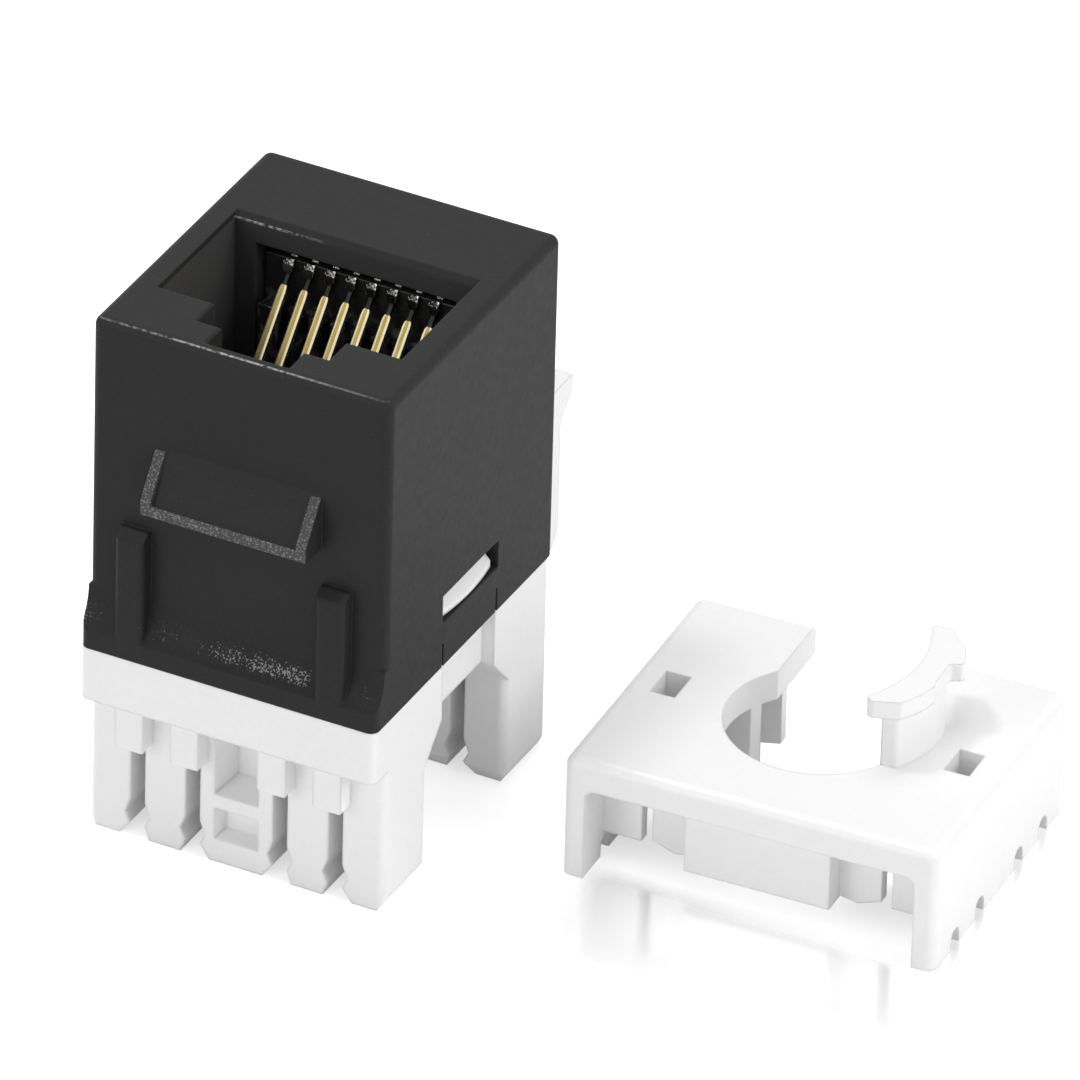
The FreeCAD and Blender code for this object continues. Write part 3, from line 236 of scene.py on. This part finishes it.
# %% [markdown]
# ## A moulded surface
# Every plastic part comes out of a steel mould. The mould's texture leaves a fine grain, the
# plastic's tone drifts a little, and no edge is perfectly sharp. All plastics here need the
# same three things, so they are made once, as a node group, and each finish sets its own
# amounts. The Bevel node rounds the light on an edge without changing the solid.

# %% Build the moulded surface group
def new_group(name, inputs, outputs):
    group = bpy.data.node_groups.new(name, "ShaderNodeTree")
    for label, value in inputs.items():
        socket = group.interface.new_socket(label, in_out="INPUT", socket_type="NodeSocketFloat")
        socket.default_value = value
    for label, kind in outputs.items():
        group.interface.new_socket(label, in_out="OUTPUT", socket_type="NodeSocket" + kind)
    start = group.nodes.new("NodeGroupInput")
    end = group.nodes.new("NodeGroupOutput")
    return group, start, end


def noise_at(tree, place, scale, detail=2.0):
    made = add_node(tree, "ShaderNodeTexNoise")
    made.inputs["Detail"].default_value = detail
    connect(tree, place, made.inputs["Vector"])
    if isinstance(scale, (int, float)):
        made.inputs["Scale"].default_value = scale
    else:
        connect(tree, scale, made.inputs["Scale"])
    return made.outputs["Fac"]


BROAD_SCALE, SMEAR_SCALE = 190.0, 2400.0
GRAIN_SHARE, BROAD_SHARE = 0.85, 0.15
GRAIN_HEIGHT = 0.02 * MM
EDGE_GAIN = 6.0

moulded, start, end = new_group(
    "moulded_surface",
    {"Grain Scale": 6000.0, "Grain Depth": 0.3, "Edge Radius": 0.0001},
    {"Tone": "Float", "Gloss": "Float", "Edge": "Float", "Normal": "Vector"},
)
place = add_node(moulded, "ShaderNodeTexCoord").outputs["Object"]
fine = noise_at(moulded, place, start.outputs["Grain Scale"], 3.0)
broad = noise_at(moulded, place, BROAD_SCALE)
smear = noise_at(moulded, place, SMEAR_SCALE)
rounded = add_node(moulded, "ShaderNodeBevel", samples=6)
connect(moulded, start.outputs["Edge Radius"], rounded.inputs["Radius"])
bump = add_node(moulded, "ShaderNodeBump")
bump.inputs["Distance"].default_value = GRAIN_HEIGHT
connect(moulded, start.outputs["Grain Depth"], bump.inputs["Strength"])
connect(moulded, fine, bump.inputs["Height"])
connect(moulded, rounded.outputs["Normal"], bump.inputs["Normal"])
connect(moulded, bump.outputs["Normal"], end.inputs["Normal"])
tone = math_node(moulded, "ADD", math_node(moulded, "MULTIPLY", fine, GRAIN_SHARE),
                 math_node(moulded, "MULTIPLY", broad, BROAD_SHARE))
connect(moulded, tone, end.inputs["Tone"])
connect(moulded, smear, end.inputs["Gloss"])
flat = add_node(moulded, "ShaderNodeNewGeometry")
agree = add_node(moulded, "ShaderNodeVectorMath", operation="DOT_PRODUCT")
connect(moulded, rounded.outputs["Normal"], agree.inputs[0])
connect(moulded, flat.outputs["Normal"], agree.inputs[1])
turned = math_node(moulded, "SUBTRACT", 1.0, agree.outputs["Value"])
edge = math_node(moulded, "MULTIPLY", turned, EDGE_GAIN)
connect(moulded, math_node(moulded, "MINIMUM", edge, 1.0), end.inputs["Edge"])
print("group", moulded.name, "with", len(moulded.nodes), "nodes")

# %% [markdown]
# ## The plastics
# The housing is charcoal with a fine grain, so it stays dull. The carrier inside is glossier.
# The block and the latch are satin white, and the cap is a touch smoother. Two close colours
# are mixed by the group's tone, because real plastic is never one flat colour. Edges are a touch
# paler: partly wear, partly a painted highlight where edges catch the light.

# %% Make the plastic finishes
EDGE_WEAR_AND_SHEEN = 0.6


def moulded_plastic(name, deep, pale, edge_colour, gloss, grain_scale, grain_depth, edge_radius,
                    shine=0.5):
    """gloss is the lowest and highest roughness, shine the specular level."""
    finish = bpy.data.materials.new(name)
    finish.use_nodes = True
    tree = finish.node_tree
    shader = tree.nodes["Principled BSDF"]
    shader.inputs["Specular IOR Level"].default_value = shine
    skin = add_node(tree, "ShaderNodeGroup", node_tree=moulded)
    skin.inputs["Grain Scale"].default_value = grain_scale
    skin.inputs["Grain Depth"].default_value = grain_depth
    skin.inputs["Edge Radius"].default_value = edge_radius
    body = add_node(tree, "ShaderNodeMix", data_type="RGBA")
    body.inputs["A"].default_value = (*deep, 1)
    body.inputs["B"].default_value = (*pale, 1)
    connect(tree, skin.outputs["Tone"], body.inputs["Factor"])
    # Edges are painted paler: partly wear, partly a painted highlight where edges catch the light.
    rubbed_and_sheen = add_node(tree, "ShaderNodeMix", data_type="RGBA")
    connect(tree, body.outputs["Result"], rubbed_and_sheen.inputs["A"])
    rubbed_and_sheen.inputs["B"].default_value = (*edge_colour, 1)
    worn_and_sheen = math_node(tree, "MULTIPLY", skin.outputs["Edge"], EDGE_WEAR_AND_SHEEN)
    connect(tree, worn_and_sheen, rubbed_and_sheen.inputs["Factor"])
    connect(tree, rubbed_and_sheen.outputs["Result"], shader.inputs["Base Color"])
    dullness = map_node(tree, skin.outputs["Gloss"], 0.3, 0.7, *gloss)
    connect(tree, dullness, shader.inputs["Roughness"])
    connect(tree, skin.outputs["Normal"], shader.inputs["Normal"])
    print("finish", name)
    return finish


housing_black = moulded_plastic(
    "housing_black", (0.020, 0.020, 0.0202), (0.0285, 0.0285, 0.0287), (0.04, 0.04, 0.04),
    (0.43, 0.49), 7000.0, 0.35, 0.12 * MM, shine=0.09)
carrier_black = moulded_plastic(
    "carrier_black", (0.024, 0.024, 0.024), (0.038, 0.038, 0.038), (0.05, 0.05, 0.05),
    (0.20, 0.32), 4000.0, 0.15, 0.12 * MM)
block_white = moulded_plastic(
    "block_white", (0.84, 0.84, 0.84), (0.90, 0.90, 0.90), (0.92, 0.92, 0.92),
    (0.30, 0.42), 3500.0, 0.10, 0.22 * MM)
cap_white = moulded_plastic(
    "cap_white", (0.84, 0.84, 0.84), (0.89, 0.89, 0.89), (0.91, 0.91, 0.91),
    (0.28, 0.38), 3500.0, 0.06, 0.16 * MM)
board_green = moulded_plastic(
    "board_green", (0.02, 0.12, 0.05), (0.03, 0.17, 0.08), (0.20, 0.17, 0.08),
    (0.25, 0.40), 2500.0, 0.20, 0.05 * MM)

# %% [markdown]
# The housing's mould is rougher where it was cut by sparks: on the hook's rim and along the
# sweep above the lip. The glints there are painted: a paler grey and tiny bright specks, a
# painted highlight. The edges round the mouth get thin pale broken lines and the ribs' top edges
# a thin pale line, painted highlights too, and the port's walls get painted light, paler towards
# the mouth. All of this goes by place, so the housing's finish gets masks of its own, made from
# the object's coordinates.

# %% Helpers for masks
def both(tree, *masks):
    product = masks[0]
    for mask in masks[1:]:
        product = math_node(tree, "MULTIPLY", product, mask)
    return product


def between(tree, value, low, high):
    return both(tree, math_node(tree, "GREATER_THAN", value, low),
                math_node(tree, "LESS_THAN", value, high))


CURVE_REACH = 8


def by_place(tree, value, *stops):
    """A line through (place in mm, strength) stops, for places up to the reach either way."""
    scaled = map_node(tree, value, -CURVE_REACH * MM, CURVE_REACH * MM)
    ramp = add_node(tree, "ShaderNodeValToRGB")
    while len(ramp.color_ramp.elements) < len(stops):
        ramp.color_ramp.elements.new(0.5)
    for stop, (spot, strength) in zip(ramp.color_ramp.elements, stops):
        stop.position = (spot + CURVE_REACH) / (2 * CURVE_REACH)
        stop.color = (strength, strength, strength, 1)
    connect(tree, scaled, ramp.inputs["Fac"])
    return ramp.outputs["Color"]


def tint(tree, under, colour, factor):
    mixed = add_node(tree, "ShaderNodeMix", data_type="RGBA")
    connect(tree, factor, mixed.inputs["Factor"])
    connect(tree, under, mixed.inputs["A"])
    mixed.inputs["B"].default_value = (*colour, 1)
    return mixed.outputs["Result"]


print("helpers for masks ready")

# %% Mask the rim and the sweep for painted glints
NEAR_FACE = -8.02 * MM
HOOK_HALF, HOOK_LOW, HOOK_TOP = 4.03 * MM, 17.95 * MM, 20.6 * MM
RIM_SIDE, RIM_TOP = 3.55 * MM, 18.55 * MM
SWEEP = ((-7.3, 0.7), (-6.2, 0.0), (-4.2, 0.1), (-3.2, 0.55), (-2.0, 0.1), (-0.8, 0.7), (1.2, 0.9),
         (3.6, 1.0), (4.0, 0.0), (5.9, 0.0), (6.3, 0.5), (6.8, 0.0))

tree = housing_black.node_tree
place = add_node(tree, "ShaderNodeTexCoord").outputs["Object"]
apart = add_node(tree, "ShaderNodeSeparateXYZ")
connect(tree, place, apart.inputs[0])
across, inward, height = apart.outputs
aside = math_node(tree, "ABSOLUTE", across)
proud = math_node(tree, "LESS_THAN", inward, NEAR_FACE)
hook_zone = both(tree, math_node(tree, "LESS_THAN", aside, HOOK_HALF),
                 between(tree, height, HOOK_LOW, HOOK_TOP), proud)
rim_shape = math_node(tree, "MAXIMUM", math_node(tree, "GREATER_THAN", aside, RIM_SIDE),
                      math_node(tree, "LESS_THAN", height, RIM_TOP))
rim = both(tree, hook_zone, rim_shape)
sweep = both(tree, by_place(tree, across, *SWEEP), proud,
             map_node(tree, height, 10.85 * MM, 11.25 * MM, soft=True),
             map_node(tree, height, 11.4 * MM, 12.1 * MM, 1.0, 0.0, soft=True))
print("masks made for the rim and the sweep")

# %% Mask the edges that get a painted highlight
NEAR_SHINE = ((-7.2, 0.25), (-3.6, 0.6), (-1.5, 1.0), (1.4, 0.8), (4.5, 0.35), (7.0, 0.1))
PORT_SHINE = ((-5.9, 0.5), (-4.6, 0.9), (-3.0, 0.5), (-1.2, 0.0))
RIB_SHINE = 0.35
BREAK_SCALE = 4200.0
NEAR_DEPTH, NEAR_LOW, NEAR_HIGH = -7.6 * MM, 26.205 * MM, 26.255 * MM
RIB_DEPTH, RIB_LOW, RIB_HIGH = -8.68 * MM, 16.12 * MM, 16.4 * MM

# Painted highlight: thin pale lines along the near top edge, the port's far edge and the ribs'
# tops.
near_edge = both(tree, math_node(tree, "LESS_THAN", inward, NEAR_DEPTH),
                 between(tree, height, NEAR_LOW, NEAR_HIGH),
                 by_place(tree, across, *NEAR_SHINE))
port_edge = both(tree, between(tree, inward, 2.5 * MM, 2.66 * MM),
                 between(tree, height, 25.96 * MM, 26.06 * MM),
                 by_place(tree, across, *PORT_SHINE))
rib_edge = both(tree, math_node(tree, "LESS_THAN", inward, RIB_DEPTH),
                between(tree, height, RIB_LOW, RIB_HIGH),
                between(tree, aside, 4.4 * MM, 5.4 * MM))
breaks = map_node(tree, noise_at(tree, place, BREAK_SCALE, 3.0), 0.38, 0.60)
painted_highlight_line = both(tree, math_node(tree, "MAXIMUM", near_edge, port_edge), breaks)
painted_highlight_line = math_node(tree, "MAXIMUM", painted_highlight_line, both(tree, rib_edge, RIB_SHINE))
print("mask made for the shining edges")

# %% Mask the port's walls for painted light
PORT_HALF, PORT_NEAR, PORT_FAR = 5.97 * MM, -4.42 * MM, 7 * MM
PORT_FLOOR, PORT_LIT, PORT_MOUTH = 14 * MM, 25 * MM, 26.0 * MM

port_painted_light = both(tree, math_node(tree, "LESS_THAN", aside, PORT_HALF),
                 between(tree, inward, PORT_NEAR, PORT_FAR),
                 math_node(tree, "LESS_THAN", height, PORT_MOUTH),
                 map_node(tree, height, PORT_FLOOR, PORT_LIT, 0.3, 1.0))
print("mask made for the port")

# %% Paint light, highlights and glints over the housing's colour
PORT_PAINTED_LIGHT = (0.060, 0.060, 0.060)
RIM_PAINTED_HIGHLIGHT = (0.085, 0.085, 0.085)
PAINTED_GLINT = (0.30, 0.30, 0.30)
EDGE_PAINTED_HIGHLIGHT = (0.55, 0.55, 0.55)
GLINT_SCALE = 11000.0
GLINT_STARTS, GLINT_FULL = 0.74, 0.82
RIM_REACH, SWEEP_REACH = 0.18, 0.24
RIM_KEPT, LEAST_KEPT = 0.45, 0.15
RIM_COVER, HIGHLIGHT_COVER = 0.8, 0.7

shader = tree.nodes["Principled BSDF"]
skin_colour = shader.inputs["Base Color"].links[0].from_socket
# Painted light: the port's walls are painted paler, most towards the mouth.
skin_colour = tint(tree, skin_colour, PORT_PAINTED_LIGHT, port_painted_light)
# Painted highlight: the hook's rim is painted a paler grey.
skin_colour = tint(tree, skin_colour, RIM_PAINTED_HIGHLIGHT, both(tree, rim, RIM_COVER))
# Painted glints: tiny bright specks on the hook's rim and along the sweep.
glint_noise = noise_at(tree, place, GLINT_SCALE, 1.0)
reach = math_node(tree, "ADD", both(tree, rim, RIM_REACH), both(tree, sweep, SWEEP_REACH))
painted_glints = map_node(tree, math_node(tree, "ADD", glint_noise, reach), GLINT_STARTS, GLINT_FULL)
kept = math_node(tree, "MAXIMUM", both(tree, rim, RIM_KEPT), sweep)
kept = math_node(tree, "ADD", kept, LEAST_KEPT)
skin_colour = tint(tree, skin_colour, PAINTED_GLINT, both(tree, painted_glints, kept))
# Painted highlight: thin pale lines along the mouth's and the ribs' edges.
skin_colour = tint(tree, skin_colour, EDGE_PAINTED_HIGHLIGHT, both(tree, painted_highlight_line, HIGHLIGHT_COVER))
connect(tree, skin_colour, shader.inputs["Base Color"])
print("housing finish has", len(tree.nodes), "nodes")

# %% [markdown]
# The comb inside the port is glossier than the housing, and its lower half gets patches of
# painted highlight. They are one more mask by place, laid over the carrier's colour.

# %% Paint highlight patches on the carrier's comb
COMB_PAINTED_GLEAM = (0.22, 0.22, 0.22)
GLEAM_SCALE = 1500.0

tree = carrier_black.node_tree
place = add_node(tree, "ShaderNodeTexCoord").outputs["Object"]
apart = add_node(tree, "ShaderNodeSeparateXYZ")
connect(tree, place, apart.inputs[0])
height = apart.outputs["Z"]
gleam_patches = map_node(tree, noise_at(tree, place, GLEAM_SCALE, 3.0), 0.50, 0.62)
band = both(tree, map_node(tree, height, 18.5 * MM, 20.5 * MM, soft=True),
            map_node(tree, height, 21.8 * MM, 22.6 * MM, 1.0, 0.0, soft=True))
shader = tree.nodes["Principled BSDF"]
carrier_colour = shader.inputs["Base Color"].links[0].from_socket
# Painted highlight: pale patches on the comb's lower half.
carrier_colour = tint(tree, carrier_colour, COMB_PAINTED_GLEAM, both(tree, gleam_patches, band))
connect(tree, carrier_colour, shader.inputs["Base Color"])
print("carrier finish has", len(tree.nodes), "nodes")

# %% Dress the solids in plastic
def dress(node, finish):
    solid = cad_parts[node]
    solid.data.materials.clear()
    solid.data.materials.append(finish)
    print(node, "wears", finish.name)


dress("housing", housing_black)
dress("contact_carrier", carrier_black)
dress("terminal_block", block_white)
dress("panel_latch", block_white)
dress("wire_cap", cap_white)
dress("circuit_board", board_green)

# %% [markdown]
# ## The metals
# The contact wires are drawn, bent and plated, nickel over the bend and gold where the plug
# touches. Drawing leaves faint lines along the wire, so the noise is stretched that way. The
# wire's edges get a paler gold, a painted highlight, and the neck by the hinge is painted near
# black, a painted shade. The blades below are stamped from tinned strip and look duller.

# %% Build the drawn metal group
STRETCH = (1.0, 0.22, 0.22)
LINE_SCALE = 9000.0
LINE_HEIGHT = 0.006 * MM

drawn, start, end = new_group(
    "drawn_metal", {"Line Depth": 0.2}, {"Tone": "Float", "Normal": "Vector"})
place = add_node(drawn, "ShaderNodeTexCoord").outputs["Object"]
stretched = add_node(drawn, "ShaderNodeMapping")
stretched.inputs["Scale"].default_value = STRETCH
connect(drawn, place, stretched.inputs["Vector"])
lines = noise_at(drawn, stretched.outputs["Vector"], LINE_SCALE, 3.0)
bump = add_node(drawn, "ShaderNodeBump")
bump.inputs["Distance"].default_value = LINE_HEIGHT
connect(drawn, start.outputs["Line Depth"], bump.inputs["Strength"])
connect(drawn, lines, bump.inputs["Height"])
connect(drawn, bump.outputs["Normal"], end.inputs["Normal"])
connect(drawn, lines, end.inputs["Tone"])
print("group", drawn.name)

# %% Make the metal finishes
def plated_metal(name, deep, pale, gloss, line_depth):
    """gloss is the lowest and highest roughness, line_depth the strength of the drawn lines."""
    finish = bpy.data.materials.new(name)
    finish.use_nodes = True
    tree = finish.node_tree
    shader = tree.nodes["Principled BSDF"]
    shader.inputs["Metallic"].default_value = 1.0
    skin = add_node(tree, "ShaderNodeGroup", node_tree=drawn)
    skin.inputs["Line Depth"].default_value = line_depth
    body = add_node(tree, "ShaderNodeMix", data_type="RGBA")
    body.inputs["A"].default_value = (*deep, 1)
    body.inputs["B"].default_value = (*pale, 1)
    connect(tree, skin.outputs["Tone"], body.inputs["Factor"])
    connect(tree, body.outputs["Result"], shader.inputs["Base Color"])
    dullness = map_node(tree, skin.outputs["Tone"], 0, 1, *gloss)
    connect(tree, dullness, shader.inputs["Roughness"])
    connect(tree, skin.outputs["Normal"], shader.inputs["Normal"])
    print("finish", name)
    return finish


contact_gold = plated_metal(
    "contact_gold", (0.34, 0.235, 0.055), (0.56, 0.41, 0.13), (0.20, 0.34), 0.2)
# Painted highlight: pale gold for the wire's edges.
gold_edge_highlight = plated_metal(
    "gold_edge_highlight", (0.68, 0.62, 0.40), (0.88, 0.83, 0.62), (0.22, 0.36), 0.2)
contact_silver = plated_metal(
    "contact_silver", (0.74, 0.73, 0.71), (0.99, 0.98, 0.97), (0.10, 0.20), 0.06)
# Painted shade: near-black metal for the wire's neck by the hinge.
neck_painted_shade = plated_metal(
    "neck_painted_shade", (0.012, 0.012, 0.012), (0.06, 0.06, 0.058), (0.30, 0.45), 0.5)
blade_tin = plated_metal(
    "blade_tin", (0.58, 0.57, 0.55), (0.74, 0.73, 0.71), (0.28, 0.42), 0.3)

for number in range(1, 9):
    dress(f"idc_contact_{number}", blade_tin)

# %% [markdown]
# ## Tools for modelling
# Blender's edit tools act on what is selected, so each shape is made by selecting faces by
# their place and then applying one tool. These helpers do the selecting and the finishing.

# %% Helpers for selecting and finishing
def clear_selection():
    if bpy.context.object and bpy.context.object.mode != "OBJECT":
        bpy.ops.object.mode_set(mode="OBJECT")
    bpy.ops.object.select_all(action="DESELECT")


def pick(piece, kind, wanted):
    """Selects the vertices, edges or polygons that the test accepts, in edit mode."""
    bpy.ops.object.mode_set(mode="OBJECT")
    mesh = piece.data
    for every in (mesh.vertices, mesh.edges, mesh.polygons):
        every.foreach_set("select", [False] * len(every))
    chosen = [part for part in getattr(mesh, kind) if wanted(part)]
    for part in chosen:
        part.select = True
    mode = {"vertices": "VERT", "edges": "EDGE", "polygons": "FACE"}[kind]
    bpy.ops.object.mode_set(mode="EDIT")
    bpy.ops.mesh.select_mode(type=mode)
    return len(chosen)


def ends_of(piece, edge):
    return [piece.data.vertices[index].co for index in edge.vertices]


def settle(piece, name, finishes, slot, body, *nodes, crease=32):
    """Smooths up to the crease angle, puts the place into the mesh and ties it to its body."""
    bpy.ops.object.mode_set(mode="OBJECT")
    clear_selection()
    piece.select_set(True)
    bpy.context.view_layer.objects.active = piece
    bpy.ops.object.transform_apply(location=True, rotation=True, scale=True)
    bpy.ops.object.shade_smooth_by_angle(angle=math.radians(crease))
    piece.name = name
    piece.data.name = name
    if not piece.data.materials:
        for finish in finishes:
            piece.data.materials.append(finish)
    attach(piece, body)
    if nodes:
        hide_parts(*nodes)


def copy_along(piece, step):
    """A copy with its own mesh, moved along X."""
    clear_selection()
    piece.select_set(True)
    bpy.context.view_layer.objects.active = piece
    bpy.ops.object.duplicate()
    twin = bpy.context.object
    bpy.ops.transform.translate(value=(step, 0, 0))
    return twin


print("helpers ready")

# %% [markdown]
# ## The sprung beams
# Each contact's free part is a flat gold-plated wire that leans across the port. The first one
# is a bar with a narrow neck at its hinge and rounded long edges. Two lines cut along it part
# the deep gold in the middle from the edges, which get a painted highlight. It is made upright at
# its hinge, leaned once, and copied.

# %% Model the first beam
PITCH = 1.016 * MM
WIRE_WIDE = 0.40 * MM
WIRE_THICK = 0.30 * MM
BEAM_LONG = 7.0 * MM
BEAM_LEAN = math.radians(-42.8)
HINGE_Y = 3.15 * MM
HINGE_Z = 23.5 * MM
NECK_END = -0.50 * MM
TIP = -6.8 * MM
CUTS_ACROSS = (-0.38, -0.50, -0.62, -0.80, -6.6)
CUTS_ALONG = (-0.10, 0.08)
NARROWING = ((-0.70, 0.92), (-0.56, 0.78), (-0.44, 0.76))
first_x = -3.5 * PITCH

clear_selection()
bpy.ops.mesh.primitive_cube_add(size=1, location=(0, 0, -BEAM_LONG / 2 + 0.02 * MM))
beam = bpy.context.object
beam.scale = (WIRE_WIDE, WIRE_THICK, BEAM_LONG + 0.2 * MM)
bpy.ops.object.transform_apply(location=True, rotation=False, scale=True)
for cut in CUTS_ACROSS:
    pick(beam, "polygons", lambda face: True)
    bpy.ops.mesh.bisect(plane_co=(0, 0, cut * MM), plane_no=(0, 0, 1))
for side in CUTS_ALONG:
    pick(beam, "polygons", lambda face: True)
    bpy.ops.mesh.bisect(plane_co=(side * MM, 0, 0), plane_no=(1, 0, 0))
for above, narrower in NARROWING:
    pick(beam, "vertices", lambda corner: corner.co.z > above * MM)
    bpy.ops.transform.resize(value=(narrower, 0.94, 1))
pick(beam, "vertices", lambda corner: corner.co.z < TIP)
bpy.ops.transform.resize(value=(0.7, 0.7, 1))
print("beam blank with", len(beam.data.polygons), "faces")

# %% Round the beam's edges
EDGE_ROUND = 0.05 * MM


def on_corner(edge):
    """An edge along the wire, at a corner of its section."""
    low, high = ends_of(beam, edge)
    along_wire = abs(low.z - high.z) > 0.05 * MM
    at_side = min(abs(low.x), abs(high.x)) > 0.10 * MM
    on_face = max(abs(low.y), abs(high.y)) > 0.05 * MM
    return along_wire and at_side and on_face


pick(beam, "edges", on_corner)
bpy.ops.mesh.bevel(offset=EDGE_ROUND, segments=2, affect="EDGES")
bpy.ops.object.mode_set(mode="OBJECT")
print("beam rounded")

# %% Plate the beam and lean it
STRIPE_MIDDLE = -0.01 * MM
STRIPE_HALF = 0.08 * MM
# Deep gold in the middle, a painted highlight in pale gold on the edges, painted shade on the neck.
for finish in (contact_gold, gold_edge_highlight, neck_painted_shade):
    beam.data.materials.append(finish)
for face in beam.data.polygons:
    on_edge = abs(face.center.x - STRIPE_MIDDLE) > STRIPE_HALF or abs(face.normal.y) < 0.9
    face.material_index = 2 if face.center.z > NECK_END else int(on_edge)
beam.rotation_euler = (BEAM_LEAN, 0, 0)
beam.location = (first_x, HINGE_Y, HINGE_Z)
settle(beam, "gold_beam_1", [], "contact_gold", "contact_1", "spring_contact_1")
print("first beam has", len(beam.data.polygons), "faces")

# %% Copy the beam to the other seven places
for number in range(2, 9):
    twin = copy_along(beam, (number - 1) * PITCH)
    settle(twin, f"gold_beam_{number}", [], "contact_gold", f"contact_{number}",
           f"spring_contact_{number}")
    print("made", twin.name)

# %% [markdown]
# ## The bends over the nose
# Behind its hinge each wire runs over a black nose and down to the circuit board. A small
# rectangle is extruded up, spun half a turn over the nose, and extruded down the back. The tool
# that bends the wire also presses it there: the bend is broad at its front, narrows over the
# nose, and has one flat cut that leans back and gleams.

# %% Model the first bend
NOSE_Y = 3.5 * MM
NOSE_Z = 24.25 * MM
BEND_RADIUS = 0.35 * MM
STUB_Z = 23.62 * MM
STUB_WIDE = 0.36 * MM
FIRST_RISE, SECOND_RISE = 0.16 * MM, 0.17 * MM
LAST_RISE = NOSE_Z - STUB_Z - 0.33 * MM
TAIL_Z = 11.0 * MM

clear_selection()
bpy.ops.mesh.primitive_plane_add(size=1, location=(first_x, NOSE_Y - BEND_RADIUS, STUB_Z))
bend = bpy.context.object
bend.scale = (STUB_WIDE, WIRE_THICK, 1)
bpy.ops.object.transform_apply(location=True, rotation=False, scale=True)
pick(bend, "polygons", lambda face: True)
for rise in (FIRST_RISE, SECOND_RISE, LAST_RISE):
    bpy.ops.mesh.extrude_region_move(TRANSFORM_OT_translate={"value": (0, 0, rise)})
bpy.ops.mesh.spin(steps=10, angle=math.pi, center=(first_x, NOSE_Y, NOSE_Z), axis=(-1, 0, 0))
bpy.ops.mesh.extrude_region_move(TRANSFORM_OT_translate={"value": (0, 0, TAIL_Z - NOSE_Z)})
bpy.ops.mesh.select_all(action="SELECT")
bpy.ops.mesh.remove_doubles(threshold=0.001 * MM)
bpy.ops.mesh.normals_make_consistent(inside=False)
bpy.ops.object.mode_set(mode="OBJECT")
tall = max(corner.co.z for corner in bend.data.vertices)
print("bend reaches", round(tall / MM, 3), "mm")

# %% Shape the bend's width
STUB_NARROW = 0.70
STUB_SPREAD = ((0.16 * MM, 1.22), (0.33 * MM, 1.38))
ARC_SPREAD = (1.30, 1.14, 0.94, 0.76, 0.62)
ARC_STEP = 18
NEARBY = 0.05 * MM


def turn_of(corner):
    """How far round the nose a corner lies, in degrees from its front."""
    return math.degrees(math.atan2(corner.co.z - NOSE_Z, NOSE_Y - corner.co.y))


def widen(wanted, factor):
    pick(bend, "vertices", lambda corner: corner.co.y < NOSE_Y + NEARBY and wanted(corner))
    bpy.ops.transform.resize(value=(factor, 1, 1))


widen(lambda corner: corner.co.z < STUB_Z + NEARBY, STUB_NARROW)
for rise, factor in STUB_SPREAD:
    widen(lambda corner: abs(corner.co.z - STUB_Z - rise) < NEARBY, factor)
for step, factor in enumerate(ARC_SPREAD):
    widen(lambda corner: abs(turn_of(corner) - ARC_STEP * step) < 4, factor)
print("bend widened in front of the nose")

# %% Press and round the bend
PRESS_TILT = math.radians(30)
PRESS_DEPTH = 0.30
BEND_ROUND = 0.09 * MM
BEND_CREASE = 14

pick(bend, "polygons", lambda face: True)
pressed = Vector((0, -math.cos(PRESS_TILT), math.sin(PRESS_TILT)))
press_spot = Vector((first_x, NOSE_Y, NOSE_Z)) + pressed * PRESS_DEPTH * MM
bpy.ops.mesh.bisect(plane_co=press_spot, plane_no=pressed, use_fill=True, clear_outer=True)
bpy.ops.object.mode_set(mode="OBJECT")
clear_selection()
bend.select_set(True)
bpy.context.view_layer.objects.active = bend
softening = bend.modifiers.new("softening", "BEVEL")
softening.width = BEND_ROUND
softening.segments = 3
softening.limit_method = "ANGLE"
softening.angle_limit = math.radians(50)
bpy.ops.object.modifier_apply(modifier=softening.name)
settle(bend, "silver_bend_1", [contact_silver], "contact_silver", "jack_body", "contact_leg_1",
       crease=BEND_CREASE)
print("first bend has", len(bend.data.polygons), "faces")

# %% Copy the bend to the other seven places
for number in range(2, 9):
    twin = copy_along(bend, (number - 1) * PITCH)
    settle(twin, f"silver_bend_{number}", [], "contact_silver", "jack_body",
           f"contact_leg_{number}", crease=BEND_CREASE)
    print("made", twin.name)
